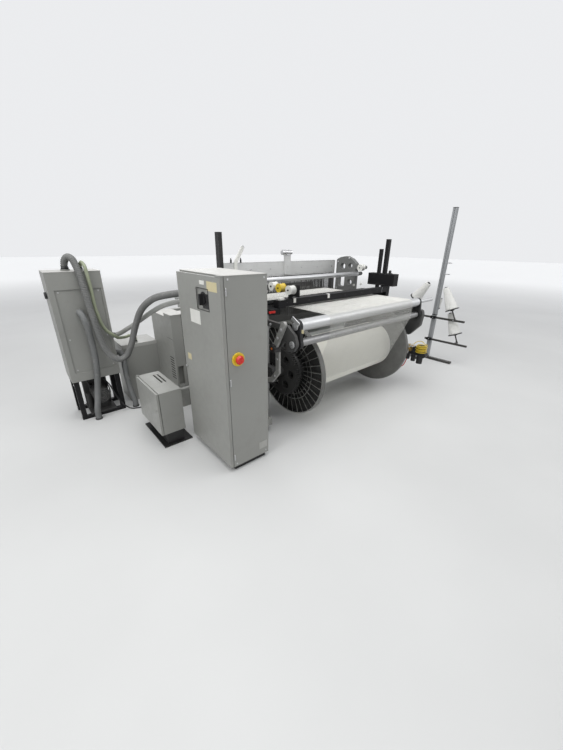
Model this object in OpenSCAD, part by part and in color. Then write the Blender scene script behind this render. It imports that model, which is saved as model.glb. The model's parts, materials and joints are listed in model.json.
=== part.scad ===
// Rapier power loom, seen in use from its warp beam side.
// The origin is on the floor, under the middle of the warp.
// X runs along the warp beam, Y from the warp beam to the cloth roll, Z up.
// Lengths are in millimetres and angles in degrees.

/* [Side frames] */
// From the loom's middle plane to the left frame's inner face
inner_left = 840; // [830:5:880]
// From the middle plane to the right frame's inner face
inner_right = 790; // [785:5:830]
// Thickness of a side frame
frame_t = 120; // [100:5:140]
// Height of the side frames
frame_top = 1000; // [990:2:1010]
// Y of the frames' back edge
frame_back = -520; // [-530:5:-500]
// Y of the frames' front edge
frame_front = 1000; // [980:5:1020]
// Height of the feet under the frames
foot_h = 60; // [40:5:70]
// Radial clearance of a shaft that turns in a bearing
run_fit = 0.05; // [0.02:0.01:0.08]
// Clearance between a soft sheet and what it passes
sheet_gap = 0.4; // [0.3:0.1:0.6]

/* [Warp beam] */
// Y of the beam's axis
beam_y = -580; // [-590:5:-575]
// Height of the beam's axis
beam_z = 479; // [475:1:490]
// Radius of the flanges
flange_r = 430; // [400:5:435]
// Distance between the flanges' inner faces
beam_w = 1264; // [1200:4:1280]
// Width of a flange's rim
flange_w = 40; // [30:2:50]
// Radius of the barrel
barrel_r = 110; // [90:5:130]
// Radius of the wound yarn
yarn_r = 246; // [180:2:300]
// Radius of the beam's journals
journal_r = 45; // [35:1:48]
// Radial ribs on each flange
flange_ribs = 36; // [24:1:40]
// Teeth of the beam's gear
gear_teeth = 72; // [60:1:76]
// Teeth of the let-off pinion
pinion_teeth = 12; // [10:1:16]
// Module of the let-off gears
gear_module = 6; // [5:0.5:7]
// Width of the beam's gear
gear_w = 36; // [20:2:40]

/* [Backrest] */
// Y of the whip roll's axis
whip_y = -960; // [-980:2:-940]
// Height of the whip roll's axis
whip_z = 986; // [980:1:996]
// Radius of the whip roll
whip_r = 44; // [38:1:48]
// Radius of the guide roll under it
guide_r = 30; // [24:1:34]
// Y of the guide roll's axis
guide_y = -975; // [-985:1:-970]
// Height of the guide roll's axis
guide_z = 860; // [850:2:866]
// Left end of both rolls
rolls_left = -912; // [-926:1:-905]
// Right end of both rolls
rolls_right = 775; // [760:1:780]
// Right end of the whip roll's stub
whip_stub_end = 1110; // [900:5:1140]
// Radius of the rolls' journals
roll_journal_r = 20; // [14:1:22]
// Thickness of a backrest arm
arm_t = 25; // [20:1:26]

/* [Warp] */
// Clearance between the warp's edge and a flange
warp_edge = 7; // [5:1:20]
// Thickness of the warp sheet
sheet_t = 1.2; // [1:0.1:1.6]

/* [Stop motion] */
// Y of the front bar's middle
stop_y = -560; // [-566:2:-552]
// Left end of the front bar
stop_left = -723; // [-740:1:-715]
// Clearance between the warp and the front bar
stop_clear = 19; // [8:1:24]
// Height of the front bar
stop_h = 55; // [45:1:60]
// Drop wires in each row
drop_count = 58; // [30:1:60]
// Rows of drop wires
drop_rows = 4; // [2:1:4]
// Spacing of the rows
drop_pitch = 35; // [28:1:36]

/* [Heald frames] */
// Y of the first heald frame
heald_y = 190; // [180:2:196]
// Spacing of the heald frames
heald_pitch = 16; // [15:0.5:18]
// Thickness of a heald frame
heald_t = 12; // [10:0.5:13]
// Height of the top rail's upper edge
heald_top = 1360; // [1340:5:1380]
// Height of the top rail
heald_rail_h = 150; // [110:5:155]
// Height of the bottom rail's lower edge
heald_bottom = 700; // [690:2:720]
// Heddles on each frame
heddle_count = 56; // [30:1:58]

/* [Sley] */
// Y of the rocking shaft
sley_y = 430; // [424:2:440]
// Height of the rocking shaft
sley_z = 300; // [290:2:320]
// Radius of the rocking shaft
sley_shaft_r = 35; // [30:1:40]
// Height of the reed
reed_h = 170; // [140:5:180]
// Reed dents that are drawn
dent_count = 100; // [60:1:110]

/* [Cloth side] */
// Y of the breast beam's round nose
breast_y = 861; // [855:1:870]
// Radius of the breast beam's nose
breast_r = 45; // [40:1:50]
// Radius of the take-up roller
takeup_r = 80; // [70:1:84]
// Height of the take-up roller
takeup_z = 720; // [715:1:735]
// Radius of the press roller
press_r = 38; // [30:1:40]
// Radius of the wound cloth
cloth_roll_r = 170; // [100:2:180]
// Height of the cloth roll
cloth_roll_z = 340; // [330:2:350]
// How much narrower than the warp the cloth is
cloth_draw_in = 40; // [20:5:80]
// Y of the front stop bar
stop_bar_y = 1124; // [1100:2:1130]

/* [Main cabinet] */
// Left face of the cabinet's door
cab_x = -1540; // [-1560:5:-1530]
// Width of the cabinet, door included
cab_w = 335; // [320:5:345]
// Y of the cabinet's near side
cab_y = -965; // [-970:5:-950]
// Depth of the cabinet
cab_d = 585; // [560:5:590]
// Height of the cabinet's underside
cab_bottom = 40; // [30:2:50]
// Height of the cabinet's top
cab_top = 1360; // [1300:5:1400]
// Thickness of a cabinet's door
door_t = 22; // [18:1:26]
// Seam between a door and its cabinet
door_seam = 4; // [4:0.5:5]

/* [Small box] */
// Left face of the small box
box_x = -1800; // [-1805:5:-1790]
// Width of the small box
box_w = 195; // [180:5:200]
// Y of its near side
box_y = -370; // [-370:2:-360]
// Length of the small box
box_l = 470; // [440:5:480]
// Height of its underside
box_bottom = 120; // [110:5:130]
// Height of its top
box_top = 480; // [460:5:500]

/* [Auxiliary cabinet] */
// Left face of the auxiliary cabinet
aux_x = -2215; // [-2215:5:-2200]
// Width of the auxiliary cabinet
aux_w = 395; // [380:5:395]
// Y of its near side
aux_y = 530; // [525:5:540]
// Depth of the auxiliary cabinet
aux_d = 300; // [280:5:310]
// Height of its underside
aux_bottom = 380; // [370:5:390]
// Height of its top
aux_top = 1310; // [1280:5:1320]

/* [End covers] */
// Left face of the left end cover
cover_x = -1400; // [-1405:5:-1395]
// Height of the left end cover's tall part
cover_top = 930; // [915:5:940]
// Left face of the low cover
low_cover_x = -1740; // [-1750:5:-1730]
// Height of the low cover
low_cover_top = 600; // [590:5:610]

/* [Creel] */
// X of the creel's post
creel_x = 2050; // [2040:5:2060]
// Y of the creel's post
creel_y = -630; // [-640:5:-620]
// Height of the creel's post
creel_top = 1980; // [1900:10:2000]
// Side of the square post
creel_post = 50; // [40:2:60]
// Height of the creel's upper arm
arm_high = 600; // [560:5:640]
// Height of the creel's lower arm
arm_low = 288; // [260:2:320]
// Radius of the disc under a weft cone
cone_r = 85; // [70:1:90]
// Length of a weft cone
cone_l = 300; // [260:5:310]

/* [Selvedge spools] */
// Radius of a selvedge spool
spool_r = 37; // [30:1:40]
// Length of a selvedge spool
spool_l = 60; // [50:2:66]

/* [Hidden] */
$fn = 48;

frame_grey = [0.60, 0.61, 0.60];
cover_grey = [0.66, 0.67, 0.66];
dark_grey = [0.23, 0.24, 0.25];
black = [0.06, 0.06, 0.06];
steel = [0.72, 0.73, 0.75];
cream = [0.89, 0.88, 0.82];
white = [0.93, 0.93, 0.91];

// Outer faces of the two frames
left_out = -inner_left - frame_t;
right_out = inner_right + frame_t;
foot_r = 75;
rear_foot_y = frame_back + 90;
// Flanges, gears and journals of the warp beam
flange_in = beam_w / 2;
flange_out = flange_in + flange_w;
warp_w = beam_w - 2 * warp_edge;
cloth_w = warp_w - cloth_draw_in;
gear_x = -flange_out - 48 - gear_w;
gear_pitch_r = gear_teeth * gear_module / 2;
pinion_pitch_r = pinion_teeth * gear_module / 2;
pinion_y = beam_y + gear_pitch_r + pinion_pitch_r;
pinion_shaft_r = 20;
cradle_t = 50;
cradle_left = -inner_left - 60;
cradle_right = inner_right + 10;
journal_end_left = cradle_left - 8;
journal_end_right = cradle_right + cradle_t + 8;
// Direction, as an angle, of the points where an outer tangent touches two circles
function touch(c1, r1, c2, r2) =
    atan2(c2[1] - c1[1], c2[0] - c1[0]) + acos((r1 - r2) / norm(c2 - c1));
function on_roll(c, r, a) = c + r * [cos(a), sin(a)];
// The warp runs from the yarn over the outer sides of the guide roll and the whip roll
yarn_touch_a = touch([beam_y, beam_z], yarn_r, [guide_y, guide_z], guide_r);
whip_touch_a = touch([guide_y, guide_z], guide_r, [whip_y, whip_z], whip_r);
arm_left = rolls_left - 5 - arm_t;
arm_right = rolls_right + 10;
warp_z = whip_z + whip_r + sheet_gap;
// Stop motion above the warp
stop_w = 50;
stop_z = warp_z + sheet_t + stop_clear;
stop_top = stop_z + stop_h;
drop_first_y = stop_y + stop_w / 2 + 20;
drop_last_y = drop_first_y + (drop_rows - 1) * drop_pitch;
// Each comb of drop wires lies on the side of its electrode bar
comb_near = 3;
comb_far = 5;
// Heald frames run inside the side frames
heald_left = -inner_left + 8;
heald_right = inner_right - 8;
heddle_t = 3;
heald_last_y = heald_y + 3 * heald_pitch;
stay_w = 40;
bottom_rail_h = 80;
// Cloth line
takeup_y = breast_y + breast_r - takeup_r;
cloth_line = breast_y + breast_r + sheet_gap;
cloth_start = sley_y + 100;
press_y = cloth_line + sheet_t + sheet_gap + press_r;
cloth_roll_y = cloth_line - sheet_gap - cloth_roll_r;
roller_journal_r = 25;
// Cabinets
cab_body_x = cab_x + door_t + door_seam;
cab_right = cab_x + cab_w;
hinge_r = 4;
hinge_inset = 8;
box_right = box_x + box_w;
box_back = box_y + box_l;
small_door_t = 16;
small_seam = 4;
aux_right = aux_x + aux_w;
knob_reach = 18;
aux_back = aux_y + aux_d;
// Places of the three left spools on the bracket, as Y and Z
spool_at = [[-384, 1193], [-481, 1188], [-608, 1183]];
spool_face = -648;
spool_pin_r = 6;
right_spool_at = [-232, 1290];
button_r = 14;

// Corner points of a polygon with rounded corners
function corner_arc(a, c, b, r, n = 4) =
    let (u = (a - c) / norm(a - c), v = (b - c) / norm(b - c),
         half = acos(u * v) / 2, m = (u + v) / norm(u + v),
         centre = c + m * r / sin(half),
         s = c + u * r / tan(half) - centre, e = c + v * r / tan(half) - centre,
         a0 = atan2(s[1], s[0]), turn = atan2(e[1], e[0]) - a0,
         sweep = turn > 180 ? turn - 360 : turn < -180 ? turn + 360 : turn)
    [for (i = [0:n]) centre + r * [cos(a0 + sweep * i / n), sin(a0 + sweep * i / n)]];
function rounded(p, r) =
    [for (i = [0:len(p) - 1])
        each corner_arc(p[(i + len(p) - 1) % len(p)], p[i], p[(i + 1) % len(p)],
                        is_list(r) ? r[i] : r)];
// Corners of a rectangle from its two opposite corners
function rect(a, b) = [a, [b[0], a[1]], b, [a[0], b[1]]];
// Outline of a spur gear, four points a tooth
function gear_points(teeth, m) =
    let (pitch = teeth * m / 2, step = 360 / teeth)
    [for (i = [0:teeth - 1], k = [0:3])
        let (r = (k == 0 || k == 3) ? pitch - 1.25 * m : pitch + m * 0.95,
             a = step * (i + [-0.30, -0.13, 0.13, 0.30][k]))
        r * [cos(a), sin(a)]];

// A box between two corners
module block(a, b) { translate(a) cube(b - a); }
// A round bar along X between x0 and x1
module bar_x(x0, x1, at, r) {
    translate([x0, at[0], at[1]]) rotate([0, 90, 0]) cylinder(h = x1 - x0, r = r);
}
// A profile drawn as (Y, Z), extruded along X
module profile_x(x0, x1) {
    translate([x0, 0, 0]) rotate([90, 0, 90]) linear_extrude(x1 - x0) children();
}
// A profile drawn as (X, Z), extruded along Y
module profile_y(y0, y1) {
    translate([0, y1, 0]) rotate([90, 0, 0]) linear_extrude(y1 - y0) children();
}
// Outline of a flat strip along a line of points, with mitred corners and round ends
function strip_points(p, w) =
    let (n = len(p),
         dirs = [for (i = [0:n - 2]) (p[i + 1] - p[i]) / norm(p[i + 1] - p[i])],
         side = [for (i = [0:n - 1])
             let (v = dirs[min(i, n - 2)], m = dirs[max(i - 1, 0)] + v, k = [-m[1], m[0]] / norm(m))
             k * w / 2 / (k * [-v[1], v[0]])],
         first = atan2(dirs[0][1], dirs[0][0]), last = atan2(dirs[n - 2][1], dirs[n - 2][0]))
    concat([for (i = [0:n - 1]) p[i] + side[i]],
           [for (t = [75:-15:-75]) p[n - 1] + w / 2 * [cos(last + t), sin(last + t)]],
           [for (i = [n - 1:-1:0]) p[i] - side[i]],
           [for (t = [-105:-15:-255]) p[0] + w / 2 * [cos(first + t), sin(first + t)]]);
module strip(p, w) { polygon(strip_points(p, w)); }
// A round hole in a drawing
module hole(at, r) { translate(at) circle(r); }
// The part of v square to the direction d, at unit length
function across(d, v) = let (w = v - (v * d) * d) w / norm(w);
// A tube swept along points, with a ring at each point
module sweep(p, r, sides = 10) {
    n = len(p);
    dirs = [for (i = [0:n - 1]) let (d = p[min(i + 1, n - 1)] - p[max(i - 1, 0)]) d / norm(d)];
    side = [for (i = 0, s = across(dirs[0], [0.9, 0.4, 0.2]); i < n;
                 i = i + 1, s = across(dirs[min(i, n - 1)], s)) s];
    rings = [for (i = [0:n - 1]) let (s = side[i], t = cross(s, dirs[i]))
        [for (k = [0:sides - 1]) p[i] + r * (cos(360 * k / sides) * s + sin(360 * k / sides) * t)]];
    polyhedron(
        points = [for (ring = rings) each ring],
        faces = concat(
            [[for (k = [sides - 1:-1:0]) k]],
            [for (i = [0:n - 2], k = [0:sides - 1])
                [i * sides + k, i * sides + (k + 1) % sides,
                 (i + 1) * sides + (k + 1) % sides, (i + 1) * sides + k]],
            [[for (k = [0:sides - 1]) (n - 1) * sides + k]]));
}
// Slope of a smooth curve at point i of a line of points
function slope(p, i) =
    let (a = p[i] - p[max(i - 1, 0)], c = p[min(i + 1, len(p) - 1)] - p[i])
    norm(a) == 0 ? c / norm(c) : norm(c) == 0 ? a / norm(a) :
    (c * norm(a) / norm(c) + a * norm(c) / norm(a)) / (norm(a) + norm(c));
// A smooth curve through hand-picked points, with a point about every step
function smooth(p, step) = concat(
    [for (i = [0:len(p) - 2])
        let (h = norm(p[i + 1] - p[i]), n = max(1, round(h / step)),
             m0 = slope(p, i) * h, m1 = slope(p, i + 1) * h)
        for (k = [0:n - 1])
            let (t = k / n)
            (2 * t * t * t - 3 * t * t + 1) * p[i] + (t * t * t - 2 * t * t + t) * m0
            + (3 * t * t - 2 * t * t * t) * p[i + 1] + (t * t * t - t * t) * m1],
    [p[len(p) - 1]]);

// Cast side frame: outline, lightening windows and shaft bores
module frame_outline() {
    polygon(rounded([[frame_back, foot_h], [940, foot_h], [940, 560], [frame_front, 660],
        [frame_front, 880], [900, 945], [560, 945], [500, frame_top], [frame_back, frame_top]],
        [40, 40, 60, 60, 50, 60, 30, 30, 30]));
}
module frame_windows() {
    for (y = [-440, 20]) polygon(rounded(rect([y, 130], [y + 380, 400]), 45));
    for (y = [-440, -40]) polygon(rounded(rect([y, 560], [y + 330, 880]), 45));
    polygon(rounded(rect([540, 760], [740, 900]), 30));
}
module frame_bores() {
    hole([sley_y, sley_z], sley_shaft_r + run_fit);
    hole([takeup_y, takeup_z], roller_journal_r + run_fit);
    hole([press_y, takeup_z], 16 + run_fit);
    hole([cloth_roll_y, cloth_roll_z], roller_journal_r + run_fit);
}
module side_frame(x0) {
    profile_x(x0, x0 + frame_t) difference() {
        frame_outline();
        frame_windows();
        frame_bores();
        if (x0 < 0) hole([pinion_y, beam_z], pinion_shaft_r + run_fit);
    }
    for (y = [rear_foot_y, 860]) {
        translate([x0 + frame_t / 2, y, 0]) cylinder(h = 22, r = foot_r);
        translate([x0 + frame_t / 2, y, 20]) cylinder(h = foot_h - 18, r = 24);
    }
}
module left_side_frame() { color(frame_grey) side_frame(left_out); }
module right_side_frame() { color(frame_grey) side_frame(inner_right); }

// Box beams that tie the side frames
module cross_beams() {
    color(frame_grey) {
        block([-inner_left, -110, 410], [inner_right, 10, 550]);
        block([-inner_left, 560, 560], [inner_right, 650, 680]);
        block([-inner_left, 410, 90], [inner_right, 530, 210]);
    }
}

// Bearing cradles of the warp beam, roll brackets and the lever that sets the warp's tension
tension_at = [-795, 795];
module cradle(x0) {
    profile_x(x0, x0 + cradle_t) difference() {
        polygon(rounded([[frame_back, beam_z - 90], [frame_back, beam_z + 75],
            [beam_y - 55, beam_z + 75], [beam_y - 70, beam_z], [beam_y - 55, beam_z - 65]],
            [2, 2, 30, 25, 20]));
        hole([beam_y, beam_z], journal_r + run_fit);
    }
}
module left_roll_bracket() {
    profile_x(left_out - arm_t, left_out) difference() {
        union() {
            polygon(rounded([[-400, 945], [-400, 995], [guide_y + 60, 985], [guide_y - 20, 930],
                [guide_y - 45, guide_z], [guide_y - 10, guide_z - 55],
                [guide_y + 60, guide_z - 70], [guide_y + 95, 940], [guide_y + 140, 945]],
                [4, 4, 20, 20, 25, 20, 20, 15, 10]));
            strip([[guide_y + 60, 960], [guide_y + 140, guide_z - 35], tension_at], 34);
        }
        hole([guide_y, guide_z], roll_journal_r + run_fit);
    }
}
module right_roll_bracket() {
    profile_x(inner_right + 25, inner_right + 70) difference() {
        polygon(rounded([[frame_back, 800], [frame_back, 985], [-600, 975], [-880, 915], [guide_y - 45, 905],
            [guide_y - 60, 860], [guide_y - 50, 740], [-915, 615], [-860, 640]],
            [4, 4, 20, 30, 25, 20, 40, 25, 40]));
        hole([guide_y, guide_z], roll_journal_r + run_fit);
    }
}
module rear_brackets() {
    color(dark_grey) {
        cradle(cradle_left);
        cradle(cradle_right);
        left_roll_bracket();
        right_roll_bracket();
    }
    color(frame_grey) {
        profile_x(left_out - arm_t + 5, left_out)
            strip([tension_at, tension_at - [2, 100], tension_at - [4, 205], [-723, 500], [-620, 462],
                [frame_back + 20, 462]], 40);
        profile_x(left_out - arm_t - 28, left_out - arm_t - 4)
            strip([tension_at, [whip_y + 62, whip_z + 8]], 44);
    }
    color(black) bar_x(left_out - arm_t - 44, left_out - 10, tension_at, 34);
}

// Case of the let-off drive, on the outside of the left frame, with its motor
module let_off_case() {
    color(cover_grey) difference() {
        union() {
            block([left_out - 160, pinion_y - 110, beam_z - 110],
                [left_out, pinion_y + 110, beam_z + 110]);
            translate([left_out - 80, pinion_y, beam_z + 110]) cylinder(h = 170, r = 62);
        }
        bar_x(left_out - 60, left_out + 1, [pinion_y, beam_z], pinion_shaft_r + run_fit);
    }
}

// Black front bar of the stop motion, its end feet and the electrode bars
module stop_motion_bar() {
    color(black) {
        block([stop_left, stop_y - stop_w / 2, stop_z], [inner_right + 60, stop_y + stop_w / 2, stop_top]);
        block([inner_right + 4, stop_y - stop_w / 2, frame_top], [inner_right + 60, -440, stop_z]);
        block([stop_left - 77, stop_y - 40, stop_z - 9], [stop_left, stop_y + 30, stop_top]);
        block([-inner_left - 40, stop_y - 40, frame_top], [stop_left - 60, stop_y + 120, stop_z - 9]);
    }
    color(steel) {
        for (i = [0:drop_rows - 1])
            block([-inner_left - 30, drop_first_y + i * drop_pitch - 3, stop_z + 12],
                [inner_right + 30, drop_first_y + i * drop_pitch + 3, stop_z + 30]);
        block([-inner_left - 40, drop_first_y - 6, stop_z - 9],
            [-inner_left - 10, drop_last_y + 10, stop_z + 12]);
        block([-inner_left - 40, stop_y + 120, frame_top],
            [-inner_left - 10, drop_last_y + 10, stop_z - 9]);
        block([inner_right + 10, drop_first_y - 6, stop_z],
            [inner_right + 40, drop_last_y + 10, stop_z + 12]);
        block([inner_right + 10, -440, frame_top], [inner_right + 40, drop_last_y + 10, stop_z]);
    }
}

// Rows of drop wires, each one comb that hangs beside its electrode bar
module drop_comb(y, shift) {
    step = warp_w / drop_count;
    profile_y(y - comb_far, y - comb_near) {
        for (k = [0:drop_count - 1])
            translate([-warp_w / 2 + step * (k + shift), stop_z - 110]) square([3, 150]);
        translate([-warp_w / 2, stop_z + 14]) square([warp_w, 6]);
    }
}
module drop_wires() {
    color(steel)
        for (i = [0:drop_rows - 1]) drop_comb(drop_first_y + i * drop_pitch, 0.25 + 0.12 * i);
}

// Polished tube in front of the heald frames, on its left stanchion
tube_at = [-170, 1218];
tube_r = 15;
module support_tube() {
    color(steel) bar_x(-inner_left - 30, inner_right + 10, tube_at, tube_r);
    color(dark_grey)
        block([-inner_left - 60, tube_at[0] - 20, frame_top], [-inner_left - 30, tube_at[0] + 20, tube_at[1] + 22]);
}

// Slotted guides for the heald frames and the black post on the left
guide_t = 28;
module guide_block(x0) {
    open = heald_t + 0.6;
    difference() {
        block([x0, heald_y - 22, 800], [x0 + guide_t, heald_last_y + 22, frame_top - 10]);
        for (i = [0:3])
            block([x0 < 0 ? x0 + 7 : x0 - 1, heald_y + i * heald_pitch - open / 2, 799],
                [x0 < 0 ? x0 + guide_t + 1 : x0 + guide_t - 7, heald_y + i * heald_pitch + open / 2, frame_top]);
    }
}
module harness_guides() {
    color(dark_grey) {
        guide_block(-inner_left);
        guide_block(inner_right - guide_t);
    }
    color(black) {
        block([-inner_left - 45, heald_y - 30, frame_top], [-inner_left - 5, heald_y + 30, 1628]);
        block([-inner_left - 75, heald_y - 60, frame_top], [-inner_left - 2, heald_y + 60, frame_top + 18]);
    }
}

// Main gear case on the left frame
module gear_case() {
    color(frame_grey) {
        profile_x(left_out - 170, left_out)
            polygon(rounded([[-60, 90], [640, 90], [640, 700], [520, 900], [160, 900], [-60, 620]], 50));
        bar_x(left_out - 240, left_out - 170, [200, 420], 150);
    }
}

// Sheet metal covers at the left end
module end_covers() {
    color(cover_grey) {
        difference() {
            union() {
                block([cover_x, 200, 0], [left_out - 245, 360, cover_top]);
                block([cover_x, 360, 0], [left_out - 245, 700, cover_top - 30]);
                block([left_out - 245, 640, 0], [left_out, 700, cover_top - 30]);
                block([left_out - 245, 200, cover_top - 30], [left_out - 100, 360, cover_top]);
            }
            block([cover_x + 14, 199, 238], [cover_x + 73, 240, 434]);
        }
        block([low_cover_x, 660, 0], [cover_x, 960, low_cover_top]);
        translate([green_end[0], green_end[1], low_cover_top]) cylinder(h = gland_l, r = 18);
        bar_x(cover_x - gland_l, cover_x, pump_end, 12);
    }
}

// Cover at the right end
module right_cover() {
    color(cover_grey)
        profile_x(right_out, right_out + 190)
            polygon(rounded([[-60, 40], [620, 40], [620, 780], [520, 880], [40, 880], [-60, 780]], 40));
}

// Breast beam with its round nose
module breast_beam() {
    top = warp_z - breast_r;
    color(frame_grey) {
        bar_x(-inner_left, inner_right, [breast_y, top], breast_r);
        block([-inner_left, breast_y - 70, top - 140], [inner_right, breast_y, top + 10]);
        for (x = [-inner_left - 60, inner_right + 20]) profile_x(x, x + 40)
            polygon([[frame_front, 735], [frame_front, 825], [stop_bar_y - 12, 944], [stop_bar_y + 10, 918]]);
    }
    color(steel) bar_x(left_out, right_out, [stop_bar_y, 930], 16);
}

// Temple bar with a ring temple at each selvedge
module temples() {
    bar_y = cloth_start + 50;
    color(dark_grey) {
        block([-inner_left - 40, bar_y, warp_z - 60], [inner_right + 40, bar_y + 30, warp_z - 25]);
        for (x = [-inner_left - 40, inner_right]) block([x, bar_y, 945], [x + 40, bar_y + 30, warp_z - 60]);
    }
    for (side = [-1, 1]) {
        x0 = side < 0 ? -cloth_w / 2 - 30 : cloth_w / 2 - 180;
        color(steel) bar_x(x0, x0 + 210, [bar_y - 14, warp_z + 20], 13);
        color(dark_grey) block([side < 0 ? x0 : x0 + 188, bar_y - 14, warp_z - 25],
            [side < 0 ? x0 + 22 : x0 + 210, bar_y + 30, warp_z + 12]);
    }
}

// Cloth from its fell, over the breast beam and down between the rollers
module cloth() {
    top = warp_z - breast_r;
    nose = breast_r + sheet_gap;
    color(white) profile_x(-cloth_w / 2, cloth_w / 2)
        polygon(concat(
            [[cloth_start, top + nose]],
            [for (a = [90:-10:0]) [breast_y, top] + nose * [cos(a), sin(a)]],
            [[cloth_line, cloth_roll_z + 10], [cloth_line + sheet_t, cloth_roll_z + 10]],
            [for (a = [0:10:90]) [breast_y, top] + (nose + sheet_t) * [cos(a), sin(a)]],
            [[cloth_start, top + nose + sheet_t]]));
}

// Warp from the yarn over the guide roll up to the whip roll
module warp_sheet_rear() {
    function side(gap) = concat(
        [on_roll([beam_y, beam_z], yarn_r + gap, yarn_touch_a)],
        [for (i = [0:4]) on_roll([guide_y, guide_z], guide_r + gap, yarn_touch_a + (whip_touch_a - yarn_touch_a) * i / 4)],
        [on_roll([whip_y, whip_z], whip_r + gap, whip_touch_a)]);
    inner = side(sheet_gap);
    outer = side(sheet_gap + sheet_t);
    color(cream) profile_x(-warp_w / 2, warp_w / 2)
        polygon(concat(inner, [for (i = [len(outer) - 1:-1:0]) outer[i]]));
}
// Warp round the whip roll and on to the heald frames
module warp_sheet_top() {
    inner = whip_r + sheet_gap;
    sheet_stop = drop_first_y - comb_far - sheet_gap;
    turn = [for (i = [0:12]) 90 + (whip_touch_a - 90) * i / 12];
    color(cream) profile_x(-warp_w / 2, warp_w / 2) {
        polygon(concat(
            [[sheet_stop, warp_z + sheet_t], [sheet_stop, warp_z]],
            [for (a = turn) on_roll([whip_y, whip_z], inner, a)],
            [for (i = [12:-1:0]) on_roll([whip_y, whip_z], inner + sheet_t, turn[i])]));
        polygon(rect([drop_last_y - comb_near + sheet_gap, warp_z],
            [heald_y - heddle_t / 2 - sheet_gap, warp_z + sheet_t]));
    }
}

// Control cabinet: sheet shell, open under its door, on a plinth
module cabinet_shell(a, b, wall) {
    difference() {
        block(a, b);
        block([a[0] - 1, a[1] + wall, a[2] + wall], [b[0] - wall, b[1] - wall, b[2] - wall]);
    }
}
hinge_x = cab_x + door_t - hinge_inset;
hinge_y = cab_y + hinge_inset;
// Emergency stop on the near side, as X and Z, and the bore for its stem
stop_at = [cab_body_x + 70, 850];
module stop_stem(depth, r) {
    translate([stop_at[0], cab_y + depth, stop_at[1]]) rotate([90, 0, 0]) cylinder(h = depth + 15, r = r);
}
module main_cabinet() {
    color(cover_grey) {
        difference() {
            cabinet_shell([cab_body_x, cab_y, cab_bottom], [cab_right, cab_y + cab_d, cab_top], 20);
            stop_stem(12, 14 + run_fit);
        }
        for (z = [cab_bottom, cab_top - 9])
            block([cab_x + 2, cab_y + 2, z], [cab_body_x + 1, cab_y + 60, z + 9]);
    }
    color(steel) {
        translate([hinge_x, hinge_y, cab_bottom + 9]) cylinder(h = 24, r = hinge_r);
        translate([hinge_x, hinge_y, cab_top - 33]) cylinder(h = 24, r = hinge_r);
    }
    color(black) {
        block([cab_body_x + 20, cab_y + 20, 0], [cab_right - 20, cab_y + cab_d - 20, cab_bottom]);
        block([cab_right, cab_y + 260, 60], [left_out + 1, cab_y + 340, 130]);
        block([left_out - 70, cab_y + 340, 60], [left_out, frame_back + 60, 130]);
    }
    color([0.85, 0.7, 0.1]) difference() {
        translate([stop_at[0], cab_y, stop_at[1]]) rotate([90, 0, 0]) cylinder(h = 8, r = 44);
        stop_stem(12, 14 + run_fit);
    }
    color(cover_grey)
        translate([cab_x + 110, cab_y + cab_d, 1180]) rotate([-90, 0, 0]) cylinder(h = stub_l, r = 32);
    color(cover_grey)
        translate([cab_x + 190, cab_y + cab_d, 1125]) rotate([-90, 0, 0]) cylinder(h = stub_l, r = 26);
}

// Door of the control cabinet, with the recess of the main switch
switch_at = [-740, 1205];
switch_r = 34;
module cabinet_door() {
    color(cover_grey) difference() {
        block([cab_x, cab_y, cab_bottom + 10], [cab_x + door_t, cab_y + cab_d, cab_top - 10]);
        block([cab_x - 1, switch_at[0] - 75, switch_at[1] - 65],
            [cab_x + 8, switch_at[0] + 75, switch_at[1] + 65]);
        for (z = [cab_bottom + 9, cab_top - 33.5])
            translate([hinge_x, hinge_y, z]) cylinder(h = 24.5, r = hinge_r + run_fit);
        bar_x(cab_x + 7, cab_x + 15, switch_at, 12 + run_fit);
    }
    color(steel) bar_x(cab_x - 9, cab_x, [cab_y + cab_d - 22, 668], 11);
}
module switch_handle() {
    color(black) {
        bar_x(cab_x + 7, cab_x + 14.5, switch_at, 12);
        bar_x(cab_x - 4, cab_x + 7.7, switch_at, switch_r);
        block([cab_x - 26, switch_at[0] - 9, switch_at[1] - switch_r],
            [cab_x - 4, switch_at[0] + 9, switch_at[1] + switch_r]);
    }
}
// Emergency stop on the near side of the cabinet
module stop_button() {
    color([0.75, 0.08, 0.08]) {
        stop_stem(4, 14);
        translate([stop_at[0], cab_y - 15, stop_at[1]]) rotate([90, 0, 0]) {
            cylinder(h = 10, r = 26);
            translate([0, 0, 10]) cylinder(h = 12, r1 = 30, r2 = 22);
        }
    }
}

// Small box on its plinth and base plate, and its hinge line in X and Y
small_hinge = [box_x + small_door_t - 6, box_back - 6];
module small_box() {
    body_x = box_x + small_door_t + small_seam;
    color(cover_grey) difference() {
        cabinet_shell([body_x, box_y, box_bottom], [box_right, box_back, box_top], 12);
        for (x = [box_right - 76, box_right - 45])
            block([x, box_back - 270, box_top - 13], [x + 14, box_back - 71, box_top + 1]);
    }
    color(black) block([body_x + 30, box_y + 25, 12], [box_right - 10, box_back - 25, box_bottom]);
    color(dark_grey) block([box_x + 10, box_y, 0], [box_right + 50, box_back, 12]);
    color(cover_grey) {
        bar_x(box_right, box_right + 110, [box_y + 40, 450], 12);
        translate([box_right + 110, box_y + 40, 450]) sphere(12);
        translate([box_right + 110, cab_y + cab_d, 450]) rotate([-90, 0, 0])
            cylinder(h = box_y + 40 - cab_y - cab_d, r = 12);
    }
    color(steel) for (z = [box_bottom - 3, box_top - 25])
        translate([small_hinge[0], small_hinge[1], z]) cylinder(h = 28, r = 3);
    color(cover_grey) for (z = [box_bottom - 6, box_top])
        block([box_x + 2, box_back - 14, z], [body_x + 6, box_back, z + 6]);
}
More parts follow.
